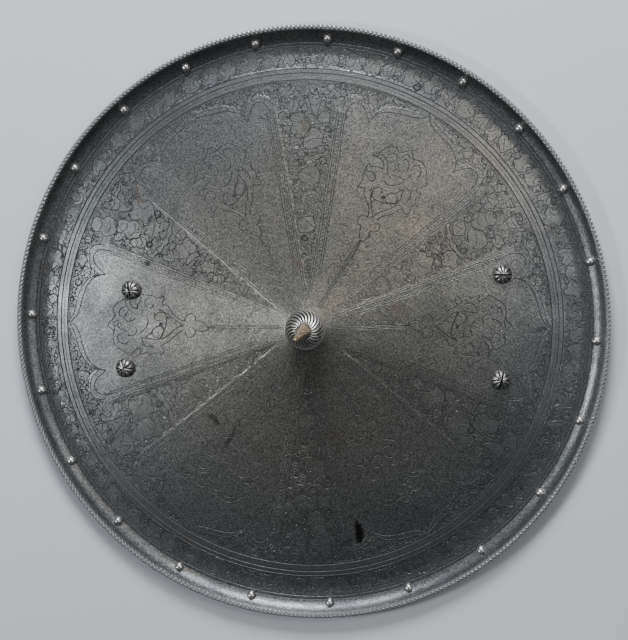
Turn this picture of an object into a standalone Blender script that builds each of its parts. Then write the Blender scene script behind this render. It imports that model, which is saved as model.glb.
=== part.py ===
"""A rondache: a round steel shield that lies on its back, face and spike up.

Metres, +Z up. The origin is the middle of the border's flat underside, which is what the shield rests on.
Seen from the front, +X is the shield's right side and +Y its top.
"""

from math import asin, atan, cos, exp, hypot, pi, radians, sin, sqrt

import bmesh
import bpy
from mathutils import Matrix, Vector

MM = 0.001
CLEARANCE = 0.3 * MM
HAIR = 0.001 * MM

# The sheet: a low cone, swelling slightly, with a sharper peak, a flat border, a raised lip and a rolled edge
SHIELD_RADIUS = 290 * MM
SHEET = 1.6 * MM
CONE_RISE = 43 * MM
CONE_SWELL = 0.25
PEAK_RISE = 8 * MM
PEAK_REACH = 24 * MM
BORDER_WIDTH = 8 * MM
LIP_RUN = 17 * MM
LIP_TURN = radians(62)
ROLL_RADIUS = 2.4 * MM

# The lining rivets, stepped off round the lip by eye, so that their gaps drift
RIVETS = 23
RIVET_INSET = 13.5 * MM
RIVET_HEAD_RADIUS = 4.6 * MM
RIVET_HEAD_HEIGHT = 3.4 * MM
RIVET_SHANK_RADIUS = 1.5 * MM
RIVET_TAIL_RADIUS = 2.3 * MM
RIVET_TAIL_HEIGHT = 0.6 * MM
FIRST_RIVET = radians(87.1)
WIDE_DRIFT = radians(3.2)
WIDE_DRIFT_TOWARDS = radians(9)
NARROW_DRIFT = radians(1.1)
NARROW_DRIFT_TOWARDS = radians(14)

# The bolts of the arm straps: where each one stands, and which way its slot was left
STRAP_BOLTS = {
    "upper_left": (Vector((-175.5, 32)) * MM, radians(104)),
    "lower_left": (Vector((-182, -44.5)) * MM, radians(31)),
    "upper_right": (Vector((185.5, 50.5)) * MM, radians(0)),
    "lower_right": (Vector((184.5, -51.5)) * MM, radians(77)),
}
BOLT_HEAD_RADIUS = 9.2 * MM
BOLT_HEAD_HEIGHT = 7.6 * MM
BOLT_RIM_HEIGHT = 2.2 * MM
BOLT_RAYS = 10
BOLT_RAY_DEPTH = 0.5 * MM
BOLT_SLOT_WIDTH = 1.8 * MM
BOLT_SLOT_DEPTH = 2.4 * MM
BOLT_SHANK_RADIUS = 3 * MM
BOLT_END = 1.5 * MM
NUT_WIDTH = 14 * MM
NUT_HEIGHT = 4 * MM
NUT_CHAMFER = 1 * MM

# The spike: a foot on the pointed middle, a knob with spiral flutes, and a blunt four-sided blade
FOOT_RADIUS = 12.5 * MM
FOOT_HEIGHT = 3 * MM
KNOB_RADIUS = 19.4 * MM
KNOB_HALF_HEIGHT = 15 * MM
KNOB_BOTTOM = radians(-48)
KNOB_TOP = radians(64)
KNOB_RINGS = 7
KNOB_FLUTES = 24
KNOB_FLUTE_DEPTH = 1.5 * MM
KNOB_FLUTE_FADE = 0.12
KNOB_TWIST = radians(95)
BLADE_LENGTH = 72 * MM
BLADE_BASE = 10.8 * MM
BLADE_TIP = 3.6 * MM
BLADE_POINT = 2.2 * MM
BLADE_FACING = radians(45)
TANG_RADIUS = 4.5 * MM
TANG_HEAD_RADIUS = 8.5 * MM
TANG_HEAD_HEIGHT = 2.4 * MM

# How finely the round forms are cut
SHEET_SIDES = 64
CONE_STEPS = 7
CONE_STEP_GROWTH = 1.25
LIP_STEPS = 4
ROLL_STEPS = 6
RIVET_SIDES = 8
HOLE_SIDES = 8
SHANK_SIDES = 10
RIVET_HEAD_STEPS = 2
BOLT_HEAD_STEPS = 3
CUTTER_REACH = 8
SHARP_EDGE = radians(38)

STEEL = {"colour": (0.16, 0.165, 0.17, 1), "roughness": 0.45, "metallic": 0.9}
WORN_STEEL = {"colour": (0.33, 0.32, 0.31, 1), "roughness": 0.32, "metallic": 1.0}
BRIGHT_STEEL = {"colour": (0.42, 0.41, 0.40, 1), "roughness": 0.28, "metallic": 1.0}
BLADE_STEEL = {"colour": (0.52, 0.42, 0.31, 1), "roughness": 0.35, "metallic": 0.9}

# What follows from those sizes
LIP_BEND = LIP_RUN / sin(LIP_TURN)
ROLL_HALF_MOUTH = asin(SHEET / 2 / ROLL_RADIUS)
LIP_RADIUS = SHIELD_RADIUS - ROLL_RADIUS - ROLL_RADIUS * cos(ROLL_HALF_MOUTH) * cos(LIP_TURN)
LIP_START = LIP_RADIUS - LIP_RUN
CONE_RADIUS = LIP_START - BORDER_WIDTH


def clear_scene():
    for thing in list(bpy.data.objects):
        bpy.data.objects.remove(thing, do_unlink=True)


def material(name, colour, roughness, metallic):
    made = bpy.data.materials.new(name)
    made.use_nodes = True
    shader = made.node_tree.nodes["Principled BSDF"]
    shader.inputs["Base Color"].default_value = colour
    shader.inputs["Roughness"].default_value = roughness
    shader.inputs["Metallic"].default_value = metallic
    made.diffuse_color = colour
    return made


def add_object(name, mesh, look, place=Matrix.Identity(4)):
    """One named piece of the shield, shaded smooth except at its real edges."""
    mesh.materials.clear()
    mesh.materials.append(look)
    mesh.shade_smooth()
    mesh.set_sharp_from_angle(angle=SHARP_EDGE)
    made = bpy.data.objects.new(name, mesh)
    made.matrix_world = place
    bpy.context.scene.collection.objects.link(made)
    return made


def mesh_of(name, work):
    bmesh.ops.recalc_face_normals(work, faces=work.faces)
    mesh = bpy.data.meshes.new(name)
    work.to_mesh(mesh)
    work.free()
    return mesh


def turned(profile, sides):
    """A solid turned about Z from a profile of (radius, height) that starts and ends on the axis."""
    work = bmesh.new()
    corners = [work.verts.new((radius, 0, height)) for radius, height in profile]
    edges = [work.edges.new(pair) for pair in zip(corners, corners[1:])]
    bmesh.ops.spin(
        work, geom=corners + edges, cent=(0, 0, 0), axis=(0, 0, 1),
        angle=2 * pi, steps=sides, use_merge=True,
    )
    bmesh.ops.remove_doubles(work, verts=work.verts, dist=HAIR)
    return work


def round_cap(radius, base, height, steps):
    """Profile of a domed head, from its top on the axis down to its edge."""
    for step in range(steps, -1, -1):
        angle = pi / 2 * step / steps
        yield radius * cos(angle) if step < steps else 0, base + height * sin(angle)


def add_box(work, size, middle):
    place = Matrix.Translation(middle) @ Matrix.Diagonal((*size, 1))
    return bmesh.ops.create_cube(work, size=1, matrix=place)["verts"]


def cut(target, cutter_mesh, name, operation="DIFFERENCE"):
    """Cuts the target with a helper, or joins it on, and keeps the helper out of the model."""
    helper = bpy.data.objects.new(name, cutter_mesh)
    bpy.context.scene.collection.objects.link(helper)
    helper.hide_render = True
    helper.display_type = "WIRE"
    boolean = target.modifiers.new(name, "BOOLEAN")
    boolean.operation = operation
    boolean.solver = "EXACT"
    boolean.object = helper
    return helper


def cone_curve(radius):
    share = min(radius / CONE_RADIUS, 1)
    return CONE_RISE * (1 - share) * (1 + CONE_SWELL * share) + PEAK_RISE * exp(-radius / PEAK_REACH)


def cone_slope(radius):
    radius = max(radius, FOOT_RADIUS)
    fall = CONE_RISE / CONE_RADIUS * (1 - CONE_SWELL + 2 * CONE_SWELL * radius / CONE_RADIUS)
    return -fall - PEAK_RISE / PEAK_REACH * exp(-radius / PEAK_REACH)


def cone_height(radius):
    """Height of the cone's face above the border. Under the spike's foot it is quite straight."""
    outside = max(radius, FOOT_RADIUS)
    return cone_curve(outside) + (radius - outside) * cone_slope(outside)


def cone_face(radius):
    return SHEET + cone_height(radius)


def cone_back(radius):
    """The back of the cone, one thickness of sheet below the face, square to its slope."""
    return cone_face(radius) - SHEET * sqrt(1 + cone_slope(radius) ** 2)


def lip_point(turn, above):
    """A point of the lip where it has turned up by that angle, that far above the sheet's middle."""
    bend = LIP_BEND - above
    return LIP_START + bend * sin(turn), SHEET / 2 + LIP_BEND - bend * cos(turn)


def rolled_edge():
    """The roll from where the lip's face meets it, over the top and outside, to where the back does."""
    middle_radius, middle_height = SHIELD_RADIUS - ROLL_RADIUS, lip_point(LIP_TURN, 0)[1]
    middle_height += ROLL_RADIUS * cos(ROLL_HALF_MOUTH) * sin(LIP_TURN)
    first = pi + LIP_TURN - ROLL_HALF_MOUTH
    sweep = -(2 * pi - 2 * ROLL_HALF_MOUTH)
    for step in range(ROLL_STEPS + 1):
        angle = first + sweep * step / ROLL_STEPS
        yield middle_radius + ROLL_RADIUS * cos(angle), middle_height + ROLL_RADIUS * sin(angle)


def sheet_profile():
    """Face from the middle out, round the rolled edge, and back along the underside."""
    beyond_foot = [(step / CONE_STEPS) ** CONE_STEP_GROWTH for step in range(CONE_STEPS)]
    radii = [0] + [FOOT_RADIUS + (CONE_RADIUS - FOOT_RADIUS) * share for share in beyond_foot]
    turns = [LIP_TURN * step / LIP_STEPS for step in range(LIP_STEPS)]
    face = [(radius, cone_face(radius)) for radius in radii]
    face += [(CONE_RADIUS, SHEET)]
    face += [lip_point(turn, SHEET / 2) for turn in turns]
    back = [lip_point(turn, -SHEET / 2) for turn in reversed(turns)]
    back += [(CONE_RADIUS, 0)]
    back += [(radius, cone_back(radius)) for radius in reversed(radii)]
    return face + list(rolled_edge()) + back


def place_on_face(radius, azimuth, spin=0.0):
    """A frame on the shield's face, its Z square to the sheet, at that distance from the middle."""
    if radius < CONE_RADIUS:
        slope, height = atan(cone_slope(radius)), cone_face(radius)
    elif radius < LIP_START:
        slope, height = 0.0, SHEET
    else:
        slope = asin((radius - LIP_START) / (LIP_BEND - SHEET / 2))
        height = lip_point(slope, SHEET / 2)[1]
    spot = Matrix.Translation((radius * cos(azimuth), radius * sin(azimuth), height))
    turn = Matrix.Rotation(azimuth, 4, "Z") @ Matrix.Rotation(-slope, 4, "Y")
    return spot @ turn @ Matrix.Rotation(spin - azimuth, 4, "Z")


def rivet_places():
    for count in range(RIVETS):
        even = FIRST_RIVET - 2 * pi * count / RIVETS
        drift = WIDE_DRIFT * cos(even - WIDE_DRIFT_TOWARDS)
        drift += NARROW_DRIFT * cos(2 * (even - NARROW_DRIFT_TOWARDS))
        yield place_on_face(SHIELD_RADIUS - RIVET_INSET, even + drift)


def bolt_places():
    for name, (spot, slot) in STRAP_BOLTS.items():
        yield name, place_on_face(spot.length, spot.angle_signed(Vector((1, 0))), slot)


def add_hole(work, place, radius, depth, sides):
    bmesh.ops.create_cone(
        work, cap_ends=True, segments=sides, radius1=radius, radius2=radius, depth=depth, matrix=place,
    )


def make_sheet():
    steel = material("dark_steel", **STEEL)
    sheet = add_object("shield_plate", mesh_of("shield_plate", turned(sheet_profile(), SHEET_SIDES)), steel)
    holes = bmesh.new()
    for place in rivet_places():
        add_hole(holes, place, RIVET_SHANK_RADIUS + CLEARANCE, CUTTER_REACH * SHEET, HOLE_SIDES)
    for _, place in bolt_places():
        add_hole(holes, place, BOLT_SHANK_RADIUS + CLEARANCE, CUTTER_REACH * SHEET, SHANK_SIDES)
    tang = Matrix.Translation((0, 0, cone_face(0)))
    add_hole(holes, tang, TANG_RADIUS + CLEARANCE, CUTTER_REACH * SHEET, SHANK_SIDES)
    cut(sheet, mesh_of("holes_for_fastenings", holes), "holes_for_fastenings")


def rivet_mesh():
    """A round head, seated by its edge in the lip's hollow, and a shank hammered over at the back."""
    hollow = LIP_BEND - SHEET / 2
    seat = CLEARANCE + hollow - sqrt(hollow**2 - RIVET_HEAD_RADIUS**2)
    tail = -SHEET - CLEARANCE
    return mesh_of("lining_rivet", turned([
        *round_cap(RIVET_HEAD_RADIUS, seat, RIVET_HEAD_HEIGHT, RIVET_HEAD_STEPS),
        (RIVET_SHANK_RADIUS, seat),
        (RIVET_SHANK_RADIUS, tail),
        (RIVET_TAIL_RADIUS, tail),
        (0, tail - RIVET_TAIL_HEIGHT),
    ], RIVET_SIDES))


def make_rivets():
    steel = material("rivet_steel", **BRIGHT_STEEL)
    mesh = rivet_mesh()
    for count, place in enumerate(rivet_places(), start=1):
        add_object(f"rivet_{count:02d}", mesh, steel, place)


def bolt_mesh():
    """A domed head with chiselled rays on a plain shank. Every second side of the dome lies a ray deeper."""
    base = CLEARANCE
    end = -SHEET - 2 * CLEARANCE - NUT_HEIGHT - BOLT_END
    rim = base + BOLT_RIM_HEIGHT
    work = turned([
        *round_cap(BOLT_HEAD_RADIUS, rim, BOLT_HEAD_HEIGHT - BOLT_RIM_HEIGHT, BOLT_HEAD_STEPS),
        (BOLT_HEAD_RADIUS, base),
        (BOLT_SHANK_RADIUS, base),
        (BOLT_SHANK_RADIUS, end),
        (0, end),
    ], 2 * BOLT_RAYS)
    for corner in work.verts:
        reach = hypot(corner.co.x, corner.co.y)
        if corner.co.z < rim + HAIR or reach < HAIR:
            continue
        side = round(Vector((1, 0)).angle_signed(corner.co.to_2d()) / pi * BOLT_RAYS)
        if side % 2:
            corner.co -= Vector((corner.co.x, corner.co.y, reach)).normalized() * BOLT_RAY_DEPTH
    return mesh_of("strap_bolt", work)


def slot_mesh():
    work = bmesh.new()
    top = CLEARANCE + BOLT_HEAD_HEIGHT
    add_box(work, (3 * BOLT_HEAD_RADIUS, BOLT_SLOT_WIDTH, 2 * BOLT_SLOT_DEPTH), (0, 0, top))
    return mesh_of("bolt_slot", work)


def nut_mesh():
    """A square nut, its lower corners chamfered, bored clear of the bolt."""
    work = bmesh.new()
    top = -SHEET - 2 * CLEARANCE
    corners = add_box(work, (NUT_WIDTH, NUT_WIDTH, NUT_HEIGHT), (0, 0, top - NUT_HEIGHT / 2))
    lower = [edge for edge in work.edges if all(end.co.z < top - NUT_HEIGHT / 2 for end in edge.verts)]
    bmesh.ops.bevel(work, geom=lower, offset=NUT_CHAMFER, segments=1, affect="EDGES")
    return mesh_of("strap_bolt_nut", work)


def bore_mesh():
    work = bmesh.new()
    add_hole(work, Matrix.Identity(4), BOLT_SHANK_RADIUS + CLEARANCE, CUTTER_REACH * NUT_HEIGHT, SHANK_SIDES)
    return mesh_of("nut_bore", work)


def make_strap_bolts():
    head_steel = material("bolt_steel", **WORN_STEEL)
    nut_steel = material("nut_steel", **STEEL)
    bolt, nut, slot, bore = bolt_mesh(), nut_mesh(), slot_mesh(), bore_mesh()
    for name, place in bolt_places():
        head = add_object(f"strap_bolt_{name}", bolt, head_steel, place)
        cut(head, slot, f"slot_of_{name}").matrix_world = place
        held = add_object(f"strap_bolt_nut_{name}", nut, nut_steel, place)
        cut(held, bore, f"bore_of_{name}").matrix_world = place


def knob_mesh(foot_base, knob_middle):
    """Tang, foot and fluted knob, ring by ring. The flutes turn as they climb, and fade at both ends."""
    sides = 2 * KNOB_FLUTES
    back = cone_back(TANG_HEAD_RADIUS) - CLEARANCE
    shank_back = cone_back(TANG_RADIUS) - CLEARANCE
    foot_edge = cone_face(FOOT_RADIUS) + CLEARANCE
    foot_top = foot_base + FOOT_HEIGHT
    rings = [
        (TANG_HEAD_RADIUS, back, 0), (TANG_RADIUS, shank_back, 0), (TANG_RADIUS, foot_base, 0),
        (FOOT_RADIUS, foot_edge, 0), (FOOT_RADIUS, foot_top, 0),
    ]
    for step in range(KNOB_RINGS):
        share = step / (KNOB_RINGS - 1)
        lean = KNOB_BOTTOM + (KNOB_TOP - KNOB_BOTTOM) * share
        depth = KNOB_FLUTE_DEPTH * sin(pi * min(max(share, KNOB_FLUTE_FADE), 1 - KNOB_FLUTE_FADE))
        rings.append((KNOB_RADIUS * cos(lean), knob_middle + KNOB_HALF_HEIGHT * sin(lean), depth))
    work = bmesh.new()
    loops = []
    for radius, height, depth in rings:
        climb = max(height - foot_top, 0) / (2 * KNOB_HALF_HEIGHT)
        loop = []
        for side in range(sides):
            reach = radius - (depth if side % 2 else 0)
            angle = pi * side / KNOB_FLUTES - KNOB_TWIST * climb
            loop.append(work.verts.new((reach * cos(angle), reach * sin(angle), height)))
        loops.append(loop)
    for lower, upper in zip(loops, loops[1:]):
        for side in range(sides):
            after = (side + 1) % sides
            work.faces.new((lower[side], lower[after], upper[after], upper[side]))
    for loop, height in ((loops[0], back - TANG_HEAD_HEIGHT), (loops[-1], rings[-1][1])):
        tip = work.verts.new((0, 0, height))
        for side in range(sides):
            work.faces.new((loop[side], loop[(side + 1) % sides], tip))
    return mesh_of("spike", work)


def blade_mesh(base):
    """The four-sided blade, sunk a little into the knob, with a blunt end."""
    work = bmesh.new()
    sunk = KNOB_FLUTE_DEPTH
    levels = (
        (BLADE_BASE, base - sunk), (BLADE_BASE, base), (BLADE_TIP, base + BLADE_LENGTH - BLADE_POINT),
    )
    loops = []
    for width, height in levels:
        reach = width / sqrt(2)
        corners = [BLADE_FACING + pi / 4 + pi / 2 * corner for corner in range(4)]
        loops.append([work.verts.new((reach * cos(a), reach * sin(a), height)) for a in corners])
    for lower, upper in zip(loops, loops[1:]):
        for corner in range(4):
            after = (corner + 1) % 4
            work.faces.new((lower[corner], lower[after], upper[after], upper[corner]))
    work.faces.new(loops[0])
    tip = work.verts.new((0, 0, base + BLADE_LENGTH))
    for corner in range(4):
        work.faces.new((loops[-1][corner], loops[-1][(corner + 1) % 4], tip))
    return mesh_of("spike_blade", work)


def make_spike():
    foot_base = cone_face(TANG_RADIUS) + CLEARANCE
    knob_middle = foot_base + FOOT_HEIGHT - KNOB_HALF_HEIGHT * sin(KNOB_BOTTOM)
    knob_top = knob_middle + KNOB_HALF_HEIGHT * sin(KNOB_TOP)
    spike = add_object("spike", knob_mesh(foot_base, knob_middle), material("spike_steel", **BLADE_STEEL))
    cut(spike, blade_mesh(knob_top), "spike_blade", "UNION")


clear_scene()
make_sheet()
make_rivets()
make_strap_bolts()
make_spike()
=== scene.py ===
"""The looks of a rondache, an etched steel shield that lies on its back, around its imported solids."""

from math import asin, ceil, cos, hypot, pi, radians, sin, sqrt

import bmesh
import bpy
import numpy as np
from mathutils import Matrix, Vector
from mathutils.geometry import delaunay_2d_cdt
from mathutils.kdtree import KDTree


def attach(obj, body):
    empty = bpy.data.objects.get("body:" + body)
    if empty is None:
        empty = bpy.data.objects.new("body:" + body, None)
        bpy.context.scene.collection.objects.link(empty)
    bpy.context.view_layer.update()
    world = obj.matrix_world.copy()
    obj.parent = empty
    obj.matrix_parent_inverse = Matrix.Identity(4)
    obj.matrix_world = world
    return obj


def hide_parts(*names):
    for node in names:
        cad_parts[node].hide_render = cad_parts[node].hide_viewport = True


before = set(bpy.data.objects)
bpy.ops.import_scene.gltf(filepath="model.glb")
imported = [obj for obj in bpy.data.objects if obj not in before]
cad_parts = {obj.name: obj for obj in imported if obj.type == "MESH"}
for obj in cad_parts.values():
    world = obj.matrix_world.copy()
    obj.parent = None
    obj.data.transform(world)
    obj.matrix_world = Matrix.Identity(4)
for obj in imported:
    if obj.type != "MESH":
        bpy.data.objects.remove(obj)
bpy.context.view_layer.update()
MM = 0.001

# The sheet
# One disc of steel 1.6 mm thick, hammered up to a low swelling cone with a sharper middle and a flat border.
# Its edge turns up to a lip and is rolled over outwards. The roll is filed into a rope of slanting strands.
SHIELD_RADIUS = 290
SHEET = 1.6
CONE_RISE, CONE_SWELL = 43, 0.25
PEAK_RISE, PEAK_REACH = 8, 24
BORDER_WIDTH = 8
LIP_RUN, LIP_TURN = 17, radians(62)
ROLL_RADIUS = 2.4
FOOT_RADIUS = 12.5
TANG_HOLE = 4.8
LIP_BEND = LIP_RUN / sin(LIP_TURN)
ROLL_HALF_MOUTH = asin(SHEET / 2 / ROLL_RADIUS)
LIP_START = SHIELD_RADIUS - ROLL_RADIUS * (1 + cos(ROLL_HALF_MOUTH) * cos(LIP_TURN)) - LIP_RUN
CONE_RADIUS = LIP_START - BORDER_WIDTH


def cone_slope(radius):
    """How fast the cone's height changes with the distance from the middle. Under the spike it is even."""
    radius = np.maximum(radius, FOOT_RADIUS)
    fall = CONE_RISE / CONE_RADIUS * (1 - CONE_SWELL + 2 * CONE_SWELL * radius / CONE_RADIUS)
    return -fall - PEAK_RISE / PEAK_REACH * np.exp(-radius / PEAK_REACH)


def face_height(radius):
    """Height of the face over the floor in mm, on the cone, the flat border and the beginning of the lip."""
    radius = np.asarray(radius, float)
    outside = np.clip(radius, FOOT_RADIUS, CONE_RADIUS)
    share = outside / CONE_RADIUS
    cone = CONE_RISE * (1 - share) * (1 + CONE_SWELL * share) + PEAK_RISE * np.exp(-outside / PEAK_REACH)
    cone += np.minimum(radius - outside, 0) * cone_slope(FOOT_RADIUS)
    hollow = LIP_BEND - SHEET / 2
    along = np.clip(radius - LIP_START, 0, hollow)
    lip = hollow - np.sqrt(hollow**2 - along**2)
    return SHEET + np.where(radius < CONE_RADIUS, cone, 0) + lip


def lip_point(turn, above):
    """A point of the lip where it has turned up by that angle, that far above the sheet's middle."""
    bend = LIP_BEND - above
    return LIP_START + bend * sin(turn), SHEET / 2 + LIP_BEND - bend * cos(turn)


# The etched drawing
# Lines scratched and bitten 0.2 to 0.4 mm deep into the face. Six bands of trophies run out from the spike
# between strips of parallel lines, a border of foliage runs round, and six plain panels each hold a flower.
LINE_WIDTH, LINE_DEPTH = 1.0, 0.3
FINE_WIDTH, FINE_DEPTH = 0.8, 0.2
GROUND_DEPTH = 0.14
LINE_STEP = 1.9
STRAIGHT_STEP = 9.0
DENSE_STEP = 0.4
RING_WIDTH, RING_DEPTH = 1.15, 0.42
RINGS = (237.2, 243.8, 248.1)
FAINT_RING, FAINT_WIDTH, FAINT_DEPTH = 240.8, 0.56, 0.1
EDGE_RINGS = (269.8, 273.0)
RING_CENTRE = np.array((-3.6, -0.8))
BAND_AXES = [radians(angle) for angle in (29.3, 90.6, 150, 210, 270, 329)]
PANEL_AXES = [radians(angle) for angle in (0, 60, 120, 180, 240, 300)]
BAND_END = 235.5
STRIP_ANGLE = radians(9.5)
STRIP_OFFSETS = (-4.2, -2.1, 2.1, 4.2)
INNER_STRIP_START, OUTER_STRIP_START, STRIP_END = 34, 52, 208
BEADS_START, BEAD_STEP, BEAD_HALF = 56, 3.6, (0.75, 0.7)

lines = []
figures = []
fields = []


def smooth(points, step=LINE_STEP, closed=False):
    """A curve through the points, walked in steps. A point that is given twice is a corner."""
    points = [np.array(point, float) for point in points]
    count = len(points)
    walked = []
    for here in range(count if closed else count - 1):
        after = (here + 1) % count
        before, beyond = points[here - 1], points[(here + 2) % count]
        if not closed:
            before, beyond = points[max(here - 1, 0)], points[min(here + 2, count - 1)]
        start, end = points[here], points[after]
        length = np.linalg.norm(end - start)
        if length < 1e-6:
            continue
        steps = max(ceil(length / step), 1)
        share = np.arange(steps)[:, None] / steps
        pull, push = (end - before) / 2, (beyond - start) / 2
        walked.append(
            (2 * share**3 - 3 * share**2 + 1) * start + (share**3 - 2 * share**2 + share) * pull
            + (3 * share**2 - 2 * share**3) * end + (share**3 - share**2) * push
        )
    if not closed:
        walked.append(points[-1][None])
    return np.concatenate(walked)


def settle(points):
    """Moves points to where the engraver's rings were struck, about 4 mm to the left of the rim's middle."""
    points = np.asarray(points, float)
    reach = np.linalg.norm(points, axis=1, keepdims=True)
    share = np.minimum(
        (reach / RINGS[0]) ** 2, np.clip((EDGE_RINGS[0] - reach) / (EDGE_RINGS[0] - RINGS[-1]), 0, 1)
    )
    return points + RING_CENTRE * share


def draw(points, closed=False, width=LINE_WIDTH, depth=LINE_DEPTH):
    """One line of the drawing, in mm from the shield's middle."""
    lines.append((settle(points), closed, width, depth))


def polar(axis, across, out):
    """Where a point lies that is that far out along an axis of the shield, and that far clockwise of it."""
    across, out = np.asarray(across, float), np.asarray(out, float)
    angle = axis - across / np.maximum(out, 1)
    return np.stack([out * np.cos(angle), out * np.sin(angle)], axis=-1)


def circle(radius, step):
    angles = np.linspace(0, 2 * pi, max(ceil(2 * pi * radius / step), 6), endpoint=False)
    return np.stack([radius * np.cos(angles), radius * np.sin(angles)], axis=-1)


def is_inside(points, outline):
    """Which of the points lie inside a closed outline."""
    x, y = points[:, 0:1], points[:, 1:2]
    x0, y0 = outline[:, 0], outline[:, 1]
    x1, y1 = np.roll(x0, -1), np.roll(y0, -1)
    crosses = (y0 > y) != (y1 > y)
    reach = x0 + (y - y0) * (x1 - x0) / np.where(y1 == y0, 1, y1 - y0)
    return (crosses & (x < reach)).sum(axis=1) % 2 == 1


for radius in RINGS + EDGE_RINGS:
    draw(circle(radius, STRAIGHT_STEP), closed=True, width=RING_WIDTH, depth=RING_DEPTH)
draw(circle(FAINT_RING, STRAIGHT_STEP), closed=True, width=FAINT_WIDTH, depth=FAINT_DEPTH)

# Strips beside the bands: four lines each, and a row of beads along their middle
for axis in BAND_AXES:
    for side in (-1, 1):
        middle = axis - side * STRIP_ANGLE
        for offset in STRIP_OFFSETS:
            start = INNER_STRIP_START if offset * side < 0 else OUTER_STRIP_START
            out = np.linspace(start, STRIP_END, ceil((STRIP_END - start) / STRAIGHT_STEP))
            draw(polar(middle, np.full_like(out, offset), out), width=FINE_WIDTH, depth=FINE_DEPTH)
        for out in np.arange(BEADS_START, STRIP_END, BEAD_STEP):
            across, along = BEAD_HALF
            ends = polar(middle, (-across, across), (out - along, out + along))
            draw(ends, width=FINE_WIDTH, depth=FINE_DEPTH)

# Panels between the bands: a doubled outline that ends in two round lobes and an ogee between cusps
PANEL_END = (
    (19.9, 207), (19.6, 212), (18.9, 217.5), (17.6, 220.5), (16.2, 219.6), (15, 215.5), (14.0, 209.5),
    (13.3, 204.5), (13.3, 204.5), (12.7, 210.5), (11.2, 216.5), (8.8, 221), (5.8, 223.6), (3.2, 225.5),
    (1.2, 229), (0, 234.5), (0, 234.5),
)
PANEL_DOUBLE = 5.2
PANEL_STEP = 2.6
LOBE_TURN, LOBE_SPREAD, OGEE_SPREAD = 16, 0.55 / 3, 0.12
SPANDREL_HALF = radians(24)
SPANDREL_CLEAR = 1.2


def panel_end(axis, side, spread):
    """Half of a panel's outer end, on one side of its axis. The outer of the two lines has a spread."""
    points = []
    for turn, out in PANEL_END:
        turn = max(turn + (LOBE_SPREAD if turn > LOBE_TURN else -OGEE_SPREAD) * spread, 0)
        points.append(polar(axis - side * radians(turn), 0, min(out + spread, RINGS[0] - 1)))
    return smooth(points, PANEL_STEP)


spandrels = []
for axis in PANEL_AXES:
    for side in (-1, 1):
        draw(panel_end(axis, side, 0))
        outer = panel_end(axis, side, PANEL_DOUBLE)
        draw(outer, width=FINE_WIDTH, depth=FINE_DEPTH)
        angles = axis - side * np.linspace(0, SPANDREL_HALF, 12)
        arc = np.stack([np.cos(angles), np.sin(angles)], axis=-1) * (RINGS[0] - SPANDREL_CLEAR)
        clear = outer * (1 + 1.4 / np.linalg.norm(outer, axis=1, keepdims=True))
        spandrels.append(np.concatenate([clear, arc]))

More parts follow.
